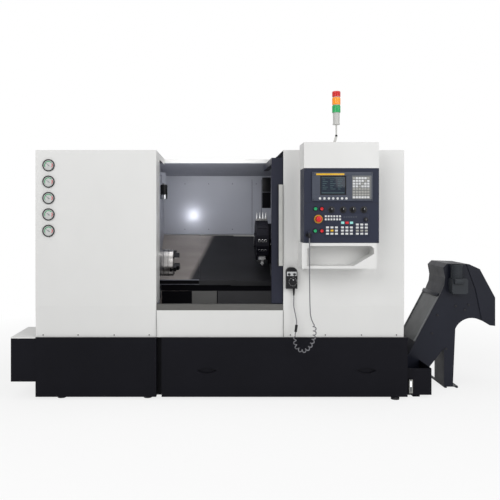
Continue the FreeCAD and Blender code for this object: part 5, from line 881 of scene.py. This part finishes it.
def screen_marks(piece, across, below):
    """Faint plain bars on the dark screen: a head line, a table of short bars and a foot line."""
    width = across[1] - across[0]
    spans = [((across[0] + 0.004, across[1] - 0.004), (below[0] + 0.004, below[0] + 0.008))]
    for row, column in product(range(6), range(3)):
        left = across[0] + 0.01 + width * 0.32 * column
        top = below[0] + 0.018 + 0.0125 * row
        spans.append(((left, left + 0.018 + 0.009 * ((row * 2 + column) % 3)), (top, top + 0.0035)))
    spans.append(((across[0] + 0.004, across[1] - 0.004), (below[1] - 0.01, below[1] - 0.005)))
    for span in spans:
        panel_block(piece, *span, 0.0045, "teal", 0)


def keys():
    """The lower key sheet: small keys, three blocks, three coloured keys and a plain readout."""
    piece = Piece("key_sheet")
    panel_block(piece, (0.14, 0.445), (0.312, 0.472), SHEET_REACH, "navy", 0.0004)
    for first, pitch, count, size, reach, look, others in KEY_BLOCKS:
        key_grid(piece, first, pitch, count, size, reach, lambda *place: others.get(place, look), SHEET_REACH)
    piece.done("machine", ("key_field",))


def panel_trim():
    """Panel screws and seam, the stop button's ring, key lock, socket, the lead's spout and the dials."""
    piece = Piece("panel_trim")
    width = PANEL_HIGH.x - PANEL_LOW.x
    depth = PANEL_HIGH.z - PANEL_LOW.z
    for across, below in product((0.012, width / 2, width - 0.012), (0.012, 0.243, depth - 0.012)):
        piece.screw(panel_place(across, below), FRONT, 0.0036)
    panel_block(piece, (0.001, width - 0.001), PANEL_SEAM, 0.0003, "black", 0)
    stop_ring = [(0.0294, 0), (0.0294, 0.0052), (0.0278, 0.0064), (0.0205, 0.0064), (0.0205, 0)]
    piece.turned(panel_place(0.098, 0.349), FRONT, stop_ring, "ring", 64)
    lock = panel_place(0.422, 0.352)
    barrel = [(0.0142, 0), (0.0142, 0.0112), (0.013, 0.0124), (0.01, 0.0128), (0.004, 0.0128)]
    piece.turned(lock, FRONT, barrel, "black", 40)
    piece.strip(lock.x, 0.0012, about(lock.y - 0.0125, 0.0005), about(lock.z, 0.006), "chrome")
    socket = [(0.0112, 0), (0.0112, 0.0076), (0.0104, 0.0082), (0.0081, 0.0082), (0.0081, 0.002)]
    piece.turned(panel_place(0.02, 0.459), FRONT, socket, "black", 40)
    spout = [(0.0045, 0), (0.0086, 0), (0.0102, 0.0016), (0.0102, 0.014), (0.0108, 0.0145), (0.0108, 0.03),
             (0.0102, 0.031), (0.0102, 0.038)]
    piece.turned(CORD_POINTS[0], UP, spout, "black", 40)
    for across in DIAL_PLACES:
        dial_scale(piece, panel_place(across, DIAL_BELOW))
    collar = [(0.0165, 0), (0.0165, 0.0014), (0.0152, 0.003), (0.0124, 0.003), (0.0117, 0)]
    for node, _, _, _ in BUTTONS:
        piece.turned(on_panel(node), FRONT, collar, "black")
    piece.done("machine")


def dial_scale(piece, centre):
    """A round black plate with plain marks, behind a rotary knob."""
    piece.turned(centre, FRONT, [(0.024, 0), (0.024, 0.0006), (0.0232, 0.0009), (0.005, 0.0009)], "black")
    top = centre + FRONT * 0.0009
    for degrees in range(-120, 121, 24):
        piece.tick(top, facing(degrees), (0.0175, 0.0215), 0.0008, "key_sheet")


def on_panel(node):
    """The place on the panel's face at a control's middle."""
    middle = measures(node)[2]
    return Vector((middle.x, PANEL_FACE, middle.z))


def shoulder(piece, node, half, thickness):
    """The square shoulder at a control's back, behind the panel's plate."""
    _, end, middle, _ = measures(node)
    piece.strip(middle.x, half, (end.y - thickness, end.y), about(middle.z, half), "black", 0.0006)


def push_buttons():
    """The push-buttons: a round plunger with a rounded rim and a shallow dish, and a shoulder."""
    for node, body, look, slot in BUTTONS:
        start, _, _, half = measures(node)
        reach = PANEL_FACE - start.y
        piece = Piece(node + "_cap")
        rim = inset(half - 0.004, (0, STEM_BACK), (0, reach - 0.002), (0.0005, reach - 0.0006),
                    (0.0014, reach), (0.0024, reach - 0.0001))
        piece.turned(on_panel(node), FRONT, rim + [(0.004, reach - 0.0009)], look)
        shoulder(piece, node, half, 0.006)
        piece.done(body, (node,))


def stop_button():
    """The stop button: a domed mushroom head on a stem, and its shoulder."""
    start, _, _, radius = measures("estop_button")
    reach = PANEL_FACE - start.y
    piece = Piece("estop_head")
    stem = [(0.012, STEM_BACK), (0.012, reach - 0.019)]
    dome = inset(radius, (0.001, reach - 0.019), (0, reach - 0.018), (0, reach - 0.0092),
                 (0.0008, reach - 0.006), (0.0028, reach - 0.003), (0.006, reach - 0.0008), (0.011, reach))
    piece.turned(on_panel("estop_button"), FRONT, stem + dome, "red", 64)
    shoulder(piece, "estop_button", 0.017, 0.008)
    piece.done("estop", ("estop_button",))


def rotary_knobs():
    """The rotary knobs: a fluted skirt, a rounded grip bar with a white line, a spindle and its collar."""
    for number in range(1, KNOB_COUNT + 1):
        node = f"rotary_knob_{number}"
        start, _, _, radius = measures(node)
        foot = on_panel(node)
        piece = Piece(node + "_grip")
        skirt = inset(radius, (0.0008, 0.0012), (0.0008, 0.0065), (0.002, 0.0085))
        piece.turned(foot, FRONT, skirt + [(0.008, 0.009)], "black")
        piece.flutes(foot, radius - 0.0012, KNOB_FLUTES, 0.0068, 0.0012, 10)
        piece.strip(foot.x, 0.004, (start.y, foot.y - 0.0085), about(foot.z, 0.013), "black", 0.0014)
        line = (foot.z + 0.001, foot.z + 0.0115)
        piece.strip(foot.x, 0.0011, (start.y - 0.0001, start.y + 0.0004), line, "key")
        piece.rod(foot + FRONT * 0.001, foot + BACK * (PANEL_PLATE + 0.008), 0.004, "chrome")
        shoulder(piece, node, 0.008, 0.006)
        piece.done(f"knob_{number}", (node,))


# ---------------- handset
HANDSET_FACE = Y_FRONT - 0.045
WHEEL_MARKS = 50
WHEEL_FLUTES = 36
SELECTORS = (0.021, 0.059)
RELIEF_RIBS = 7


def handset_trim():
    """The handset's white band, wheel scale, screws, two selector dials and the lead's ribbed relief."""
    start, end = corners("handset_body")
    band_top = end.z - 0.03
    piece = Piece("handset_trim")
    piece.block((start.x + 0.006, HANDSET_FACE - 0.0006, band_top - 0.03),
                (end.x - 0.006, HANDSET_FACE + 0.0004, band_top), "key", 0.0002)
    centre = measures("handset_wheel")[2]
    place = Vector((centre.x, HANDSET_FACE, centre.z))
    for index in range(WHEEL_MARKS):
        outer, half = (0.0295, 0.00045) if index % 5 else (0.031, 0.0008)
        piece.tick(place, facing(360 * index / WHEEL_MARKS), (0.0268, outer), half, "key")
    piece.screws(((start.x + 0.007, end.x - 0.007), (HANDSET_FACE,), (start.z + 0.06,)), FRONT, 0.0025)
    dial = [(0.0093, 0), (0.0093, 0.0072), (0.0084, 0.009), (0.0078, 0.0092), (0.003, 0.0092)]
    for across in SELECTORS:
        foot = Vector((start.x + across, HANDSET_FACE, start.z + 0.153))
        piece.turned(foot, FRONT, dial, "black", 32)
        line = (foot.z + 0.001, foot.z + 0.008)
        piece.strip(foot.x, 0.0008, (foot.y - 0.0095, foot.y - 0.009), line, "key")
    ribs = repeated(RELIEF_RIBS, (0.0006, 0.007), (0.0055, 0.001), (0.0057, 0.0055), (0.0051, 0.0062),
                    (0.0051, 0.0076))
    relief = [(0.0046, -0.001), (0.0052, -0.001), *ribs, (0.01, 0.05)]
    piece.turned((*CORD_POINTS[-1][:2], start.z), UP, relief, "black", 28)
    piece.done("machine")


def pulse_wheel():
    """The handset's wheel: a knurled rim, a dished face, a finger nub and the stem."""
    _, end, middle, radius = measures("handset_wheel")
    foot = Vector((middle.x, HANDSET_FACE - 0.001, middle.z))
    piece = Piece("pulse_wheel")
    rim = inset(radius, (0.0015, 0), (0.0005, 0.001), (0.0005, 0.0118), (0.0018, 0.0138))
    dish = [(0.018, 0.014), (0.0165, 0.0128), (0.006, 0.0128)]
    piece.turned(foot, FRONT, [(0.005, 0), *rim, *dish], "black", 64)
    piece.flutes(foot, radius - 0.001, WHEEL_FLUTES, 0.0115, 0.001, 8)
    knob = [(0.0048, 0.013), (0.004, 0.015), (0.005, 0.019), (0.0046, 0.0212), (0.003, 0.022)]
    piece.turned(foot + UP * (radius - 0.009), FRONT, knob, "chrome", 28)
    piece.rod(foot + FRONT * 0.001, (foot.x, end.y, foot.z), 0.005, "chrome")
    piece.done("handset_wheel", ("handset_wheel",))


# ---------------- chuck, turret and lamp
NOSE_FLANGE = (-0.8117, -0.7841)
CHUCK_GROOVES = (0.3, 0.62)
RING_ROWS = (180, 210)
RING_SHARES = (0.25, 0.5, 0.75)
SEAT_DEPTH = 0.003
DRUM_WIDTH = 0.1
DISC_THICKNESS = 0.012
DISC_BOLTS = 6
DRILL_SHARES = (0.125, 0.375, 0.625, 0.875)
DRILL_LEVELS = (0.182, 0.2358)
NOZZLE_PLACE = (0.122, 1.075)
LAMP_FINS = 6


def chuck_trim():
    """The chuck's two rim bands, the spindle's nose flange, the centre ring and the face's cap screws."""
    start, end, middle, _ = measures("chuck_body")
    radius = (end.z - start.z) / 2
    long = NOSE_FLANGE[1] - NOSE_FLANGE[0]
    rim = inset(radius, (0.003, 0), (-0.0004, 0.0003), (-0.0004, 0.003), (0.003, 0.0033))
    centre_ring = [(0.034, -0.002), (0.034, 0.0008), (0.0275, 0.0008), (0.0275, -0.002)]
    rings = [(start.x + (end.x - start.x) * share, rim, "black_steel", 64) for share in CHUCK_GROOVES]
    rings.append((NOSE_FLANGE[0], [(0.06, 0), (0.0974, 0), (0.0974, long), (0.06, long)], "ground", 64))
    rings.append((end.x, centre_ring, "ground", 48))
    piece = Piece("chuck_trim")
    for x, profile, look, sides in rings:
        piece.turned((x, middle.y, middle.z), RIGHT, profile, look, sides)
    for degrees in (60, 180, 300):
        angle = math.radians(degrees)
        out = Vector((0, math.sin(angle), math.cos(angle)))
        piece.screw(Vector((end.x, middle.y, middle.z)) + out * radius * 0.8, RIGHT, 0.0075, BOLT)
    piece.done("spindle")


def turret_rings():
    """Ring-shaped bolt heads on the drum's front seats, its end disc and the drills' smooth cones."""
    start, end, middle, _ = measures("turret_disc")
    apothem = (end.z - start.z) / 2
    axis = Vector((start.x + DISC_THICKNESS, middle.y, middle.z))
    piece = Piece("turret_rings")
    ring = [(0.0115, -0.001), (0.0115, 0.0028), (0.0106, 0.0036), (0.0088, 0.0036), (0.0088, 0.0008),
            (0.002, 0.0008)]
    for degrees, share in product(RING_ROWS, RING_SHARES):
        out = Vector((0, math.cos(math.radians(degrees)), math.sin(math.radians(degrees))))
        place = axis + out * (apothem - SEAT_DEPTH) + RIGHT * DRUM_WIDTH * share
        piece.turned(place, out, ring, "bright_ring", 32)
        piece.turned(place, out, [(0.0089, 0.0006), (0.0089, 0.0016), (0.006, 0.002)], "dark_cast", 32)
    disc = [(0.052, 0), (0.052, 0.0004), (0.047, 0.0008), (0.02, 0.0008)]
    piece.turned(axis + LEFT * DISC_THICKNESS, LEFT, disc, "ground")
    for index in range(DISC_BOLTS):
        angle = math.radians(60 * index + 30)
        piece.screw(axis + Vector((0, math.cos(angle), math.sin(angle))) * 0.075, LEFT, 0.008, BOLT)
    for share in DRILL_SHARES:
        foot, tip = (axis + Vector((DRUM_WIDTH * share, 0, level)) for level in DRILL_LEVELS)
        piece.rod(foot, tip, 0.0083, "bright_ring", 0.0017, 28)
    piece.done("turret")


def housing_nozzle():
    """The bright coolant nozzle on the front of the turret's housing."""
    piece = Piece("housing_nozzle")
    spot, normal = on_surface("turret_housing", (NOZZLE_PLACE[0], low("turret_housing").y, NOZZLE_PLACE[1]))
    profile = [(0.009, 0), (0.009, 0.003), (0.0065, 0.0036), (0.0065, 0.0085), (0.005, 0.01),
               (0.002, 0.01)]
    piece.turned(spot - normal * 0.0005, normal, profile, "bright_ring", 28)
    piece.done("cross_slide")


def lamp_body():
    """The work lamp: a bright front collar round a sunk lens, a black finned body and its hanging lug."""
    start, end, middle, radius = measures("lamp_head")
    foot = Vector((middle.x, middle.y, start.z))
    collar = [(0.0045, 0.006), (0.004, 0), (0.001, 0), (0, 0.0012), (0, 0.034), (0.0025, 0.0355)]
    fins = repeated(LAMP_FINS, (0, 0.011), (0.003, 0.042), (0, 0.043), (0, 0.047), (0.003, 0.048))
    body = [(0.003, 0.035), *fins, (0.003, 0.11), (0.005, 0.115), (0.009, 0.116)]
    piece = Piece("lamp_body")
    lens = [(0.0046, 0.005), (0.0046, 0.0056)]
    for profile, look in ((collar, "chrome"), (lens, "lamp_glow_and_painted_glow_glass"), (body, "black")):
        piece.turned(foot, UP, inset(radius, *profile), look)
    piece.strip(middle.x, 0.012, about(middle.y, 0.014), (start.z + 0.11, end.z), "chrome", 0.003)
    piece.done("lamp", ("lamp_head",))


# ---------------- chamber and door
WALL_SEAMS = (0.001, 0.089)
WALL_SCREWS = ((-0.62, -0.4, -0.18, 0.04), (1.2, 1.62))
SIDE_PANEL = (0.094, 0.175)
GUARD_LINE = ((0.0749, 0.7944), (0.6863, 1.1473))
GUARD_SPAN = (-0.8145, -0.4752)
SKIN = 0.0006
LIP_LEVELS = (0.757, 0.789)
CHUTE_WALL = 0.0772
BED_FACE = 0.0952
BED_TOP = 0.78
CHUTE_LEVELS = (0.36, 0.6998)
# The hopper wall's panels; the near-black ones are painted shade in an opening at the left and in the gap
# between the pale and dark panels.
CHUTE_PANELS = (("painted_shade_black", -0.786, -0.535), ("chute_pale", -0.533, -0.327), ("painted_shade_black", -0.327, -0.319),
                ("chute_dark", -0.319, 0.47))


def chamber_trim():
    """The chamber's panel seams, its rear screws and the dark panels at the turret's side: a black one, and
    below it painted shade for a recess.
    """
    wall = high("chamber_liner").y - LINER_WALL
    piece = Piece("chamber_trim")
    for x in WALL_SEAMS:
        piece.strip(x, 0.0015, (wall - 0.0006, wall + 0.0004), (1.16, 1.66), "black")
    piece.screws((WALL_SCREWS[0], (wall,), WALL_SCREWS[1]), FRONT, 0.004)
    left, right = SIDE_PANEL
    piece.block((left, wall - 0.0008, 1.545), (right, wall + 0.0004, 1.68), "black", 0.0002)
    # A sheet of painted shade for the recess below the black panel.
    piece.block((left, wall - 0.0006, 1.396), (right, wall + 0.0004, 1.543), "painted_shade_black", 0.0002)
    piece.done("machine")


def chamber_skins():
    """The fixed guard plate's surface with painted light and shade; painted shade on its lip; the dark and
    pale panels of the hopper's wall, with painted shade in the opening at their left and in the gap between
    them; and painted shade on the bed's dark edge.
    """
    piece = Piece("chamber_skins")
    left, right = GUARD_SPAN
    near, far = (Vector((left, y, z)) for y, z in GUARD_LINE)
    out = Vector((0, -0.5, math.sqrt(0.75))) * SKIN
    # The fixed plate's skin carries the guard's painted light, painted shade and painted shadow edge.
    piece.prism([near - out, far - out, far + out, near + out], (right - left, 0, 0), "guard")
    # Painted shade on the guard's lip.
    skins = [("painted_shade_black", left, right, near.y, LIP_LEVELS)]
    skins += [(look, start, end, CHUTE_WALL, CHUTE_LEVELS) for look, start, end in CHUTE_PANELS]
    # Painted shade on the bed's face, in the gap between the hopper's wall and the guard.
    skins.append(("painted_shade_black", CHUTE_PANELS[0][1], CHUTE_PANELS[-1][2], BED_FACE, (CHUTE_LEVELS[1], BED_TOP)))
    for look, start, end, face, (foot, head) in skins:
        piece.block((start, face - SKIN, foot), (end, face + SKIN, head), look)
    piece.done("machine")


def door_trim():
    """The plates under the door handle's feet and the window's frame screws."""
    face = low("door_frame").y
    handle_low, handle_high = corners("door_handle")
    window_low, window_high = corners("door_window")
    piece = Piece("door_trim")
    for z in (handle_low.z, handle_high.z - 0.034):
        piece.block((handle_low.x - 0.006, face - 0.003, z - 0.004),
                    (handle_high.x + 0.002, face + 0.0005, z + 0.038), "black", 0.0012)
    levels = [window_low.z + (window_high.z - window_low.z) * share / 4 for share in range(5)]
    piece.screws(((window_low.x - 0.012, window_high.x + 0.012), (face + 0.0001,), levels), FRONT, 0.0035)
    piece.done("door")


# ---------------- covers and tank
SCREW_SHARES = (0.06, 0.35, 0.65, 0.94)
SIGHT_GLASS = 1.082


def cover_trim():
    """Screws along the covers' lower edges, and black filler in the lower panel's joints."""
    piece = Piece("cover_trim")
    for node in ("left_cover", "right_cover"):
        start, end = corners(node)
        places = [start.x + (end.x - start.x) * share for share in SCREW_SHARES]
        piece.screws((places, (start.y + 0.0137,), (start.z + 0.016,)), FRONT, 0.0045)
    start, end = corners("lower_front_panel")
    for x in (start.x, end.x):
        piece.strip(x, 0.0014, (start.y - 0.0004, start.y + 0.001), (start.z, end.z), "black")
    piece.done("machine")


def tank_glass():
    """The coolant tank's sight glass, with a painted glow in its glass, and its level."""
    face = low("coolant_tank").y
    piece = Piece("tank_sight_glass")
    piece.strip(SIGHT_GLASS, 0.0135, (face - 0.0003, face + 0.001), (0.036, 0.135), "dim_key", 0.0002)
    # A painted glow in the sight glass.
    piece.strip(SIGHT_GLASS, 0.006, (face - 0.0005, face + 0.006), (0.048, 0.123), "lamp_glow_and_painted_glow_glass", 0.0003)
    piece.strip(SIGHT_GLASS, 0.0058, (face - 0.0008, face - 0.0004), (0.048, 0.082), "key_sheet")
    piece.done("machine")


# ---------------- chip conveyor and feet
CONVEYOR_SIDE = -0.3335
CONVEYOR_BOLTS = ((1.512, 0.76), (1.512, 0.63), (1.585, 0.6), (1.612, 0.64), (1.44, 0.3),
                  (1.27, 0.15), (1.33, 0.42), (1.372, 0.56))
BARREL = (1.504, -0.3795, 0.85)
TERMINAL_LID = (1.472, 1.536, 0.812, 0.846)
FIN_COUNT = 9
FOOT_PLACES = ((-1.462, -0.5955), (-0.833, -0.5955), (0.962, -0.6455), (-1.462, 0.595), (-0.25, 0.595),
               (0.962, 0.595))
THREAD_TURNS = 11


def conveyor_trim():
    """Bolts on the conveyor's side, the cover plate's screws and the bar across its head."""
    piece = Piece("conveyor_trim")
    for x, z in CONVEYOR_BOLTS:
        piece.screw((x, CONVEYOR_SIDE, z), FRONT, 0.0085, BOLT)
    start, end = corners("conveyor_cover")
    slope = Vector((end.x - start.x, 0, end.z - start.z))
    for share, y in product(SCREW_SHARES, (start.y + 0.018, end.y - 0.018)):
        piece.screw(*on_surface("conveyor_cover", Vector((start.x, y, start.z)) + slope * share), 0.0055)
    slope.normalize()
    out = Vector((-slope.z, 0, slope.x))
    top = Vector((end.x, start.y, end.z))
    bar = [top - slope * down + out * rise for down, rise in (
        (0.034, -0.001), (0.004, -0.001), (0.004, 0.014), (0.034, 0.014))]
    piece.prism(bar, BACK * (end.y - start.y), "conveyor", 0.002)
    piece.done("machine")


def motor_trim():
    """The gear motor's finned barrel and terminal box lid."""
    start, end = corners("conveyor_gear_motor")
    piece = Piece("gear_motor_trim")
    left, right, foot, head = TERMINAL_LID
    piece.block((left, start.y - 0.0022, foot), (right, start.y + 0.0004, head), "motor", 0.0008)
    places = ((left + 0.006, right - 0.006), (start.y - 0.002,), (foot + 0.006, head - 0.006))
    piece.screws(places, FRONT, 0.003)
    height = end.z - BARREL[2]
    pitch = (height - 0.022) / FIN_COUNT
    fin = [(radius, 0.004 + pitch * share) for radius, share in (
        (0.0424, 0.5), (0.0444, 0.55), (0.0444, 0.95), (0.0424, 1))]
    cap = [(0.043, height - 0.016), (0.043, height - 0.004), (0.04, height), (0.02, height)]
    fins = repeated(FIN_COUNT, (0, pitch), *fin)
    piece.turned(BARREL, UP, [(0.0424, 0), (0.0424, 0.004), *fins, *cap], "motor")
    piece.done("machine")


def foot_pads():
    """The levelling feet: a round pad with a rounded edge, a lock nut and a threaded screw."""
    piece = Piece("foot_pads")
    thread = repeated(THREAD_TURNS, (0, 0.0038), (0.0134, 0.018), (0.0148, 0.0199))
    for x, y in FOOT_PLACES:
        piece.turned((x, y, 0), UP, [(0.03, 0), (0.03, 0.015), (0.027, 0.018)], "black_steel", 40)
        piece.turned((x, y, 0), UP, thread + [(0.0134, 0.06)], "ground", 32)
        piece.rod((x, y, 0.0462), (x, y, 0.058), 0.0235, "ground", sides=6)
    piece.done("machine", ("levelling_feet",))


# ---------------- back and ends
CABINET_FACE = 0.9395
CABINET_HANDLE = ((0.345, 0.9395, 1.04), (0.371, 0.9515, 1.19))
LOUVRE_REACH = 0.009
LOUVRE_PITCH = 0.02
REAR_JOINTS = (-1.2, -0.765, -0.31, 0.15)
REAR_LOUVRES = ((-1.52, -1.28), (-1.12, -0.86))
JOINT_SCREWS = 6
# Each hatch's near and far edge, foot and head: on the left end, then on the right one.
HATCHES = ((-0.3, 0.3, 0.62, 1.32), (-0.22, 0.38, 0.92, 1.55))


def louvres(piece, left, right, face, foot, count):
    """A block of pressed louvres on a rear face."""
    for row in range(count):
        z = foot + LOUVRE_PITCH * row
        outline = [(left, face, z), (left, face + LOUVRE_REACH, z), (left, face, z + LOUVRE_PITCH * 0.72)]
        piece.prism(outline, (right - left, 0, 0), "white", 0.0008)


def cabinet_trim():
    """The rear cabinet door's louvres, its black handle and its edge screws."""
    start, end = corners("cabinet_door")
    piece = Piece("cabinet_trim")
    for foot in (start.z + 0.1, end.z - 0.26):
        louvres(piece, start.x + 0.16, end.x - 0.16, CABINET_FACE, foot, 8)
    (left, _, foot), (right, tip, head) = CABINET_HANDLE
    for side, rise, depths, bevel in ((0.006, 0.012, (CABINET_FACE - 0.0002, CABINET_FACE + 0.004), 0.0015),
                                      (0.0006, 0.0006, (CABINET_FACE, tip - 0.0001), 0.003)):
        levels = (foot - rise, head + rise)
        piece.strip((left + right) / 2, (right - left) / 2 + side, depths, levels, "black", bevel)
    places = (start.x + 0.03, (left + right) / 2 + 0.3, end.x - 0.045)
    piece.screws((places, (CABINET_FACE,), (start.z + 0.03, end.z - 0.03)), BACK, 0.005)
    piece.done("cabinet_door")


def rear_panels():
    """The enclosure's panel joints with their screws, louvres behind and a hatch on each end."""
    left = low("left_cover")
    back, top = high("left_cover").yz
    foot, head = left.z + 0.02, top - 0.02
    pitch = (head - foot - 0.12) / (JOINT_SCREWS - 1)
    levels = [foot + 0.06 + pitch * index for index in range(JOINT_SCREWS)]
    piece = Piece("rear_panels")
    for x in REAR_JOINTS:
        piece.strip(x, 0.0012, (back - 0.0012, back + 0.0003), (foot, head), "black")
        piece.screws((about(x, 0.022), (back - 0.0006,), levels), BACK, 0.0048)
    for start, end in REAR_LOUVRES:
        louvres(piece, start, end, back, 0.62, 10)
    hatch(piece, left.x, -1, *HATCHES[0])
    hatch(piece, high("right_cover").x, 1, *HATCHES[1])
    piece.done("machine")


def hatch(piece, face, side, near, far, foot, head):
    """A service hatch on an end face: a thin raised plate with four screws and two round latches."""
    ends = sorted((face - side * 0.0004, face + side * 0.0022))
    piece.block((ends[0], near, foot), (ends[1], far, head), "white", 0.0009)
    out = RIGHT * side
    top = face + side * 0.002
    piece.screws(((top,), (near + 0.02, far - 0.02), (foot + 0.02, head - 0.02)), out, 0.0048)
    for share in (0.3, 0.7):
        z = foot + (head - foot) * share
        latch = [(0.016, 0), (0.016, 0.0012), (0.0145, 0.0026), (0.006, 0.0026)]
        piece.turned((top, near + 0.045, z), out, latch, "black", 32)
        piece.strip(face + side * 0.0045, 0.0005, about(near + 0.045, 0.0015), about(z, 0.009), "chrome")


# ---------------- the scene
STEPS = (
    camera, handset_lead, lights, world, floor, dress_nodes, gauges, lenses, tower_mount, display, keys,
    panel_trim, push_buttons, stop_button, rotary_knobs, handset_trim, pulse_wheel, chuck_trim, turret_rings,
    housing_nozzle, lamp_body, chamber_trim, chamber_skins, door_trim, cover_trim, tank_glass, conveyor_trim,
    motor_trim, foot_pads, cabinet_trim, rear_panels,
)
for step in STEPS:
    step()

bpy.context.scene.view_settings.view_transform = "Standard"
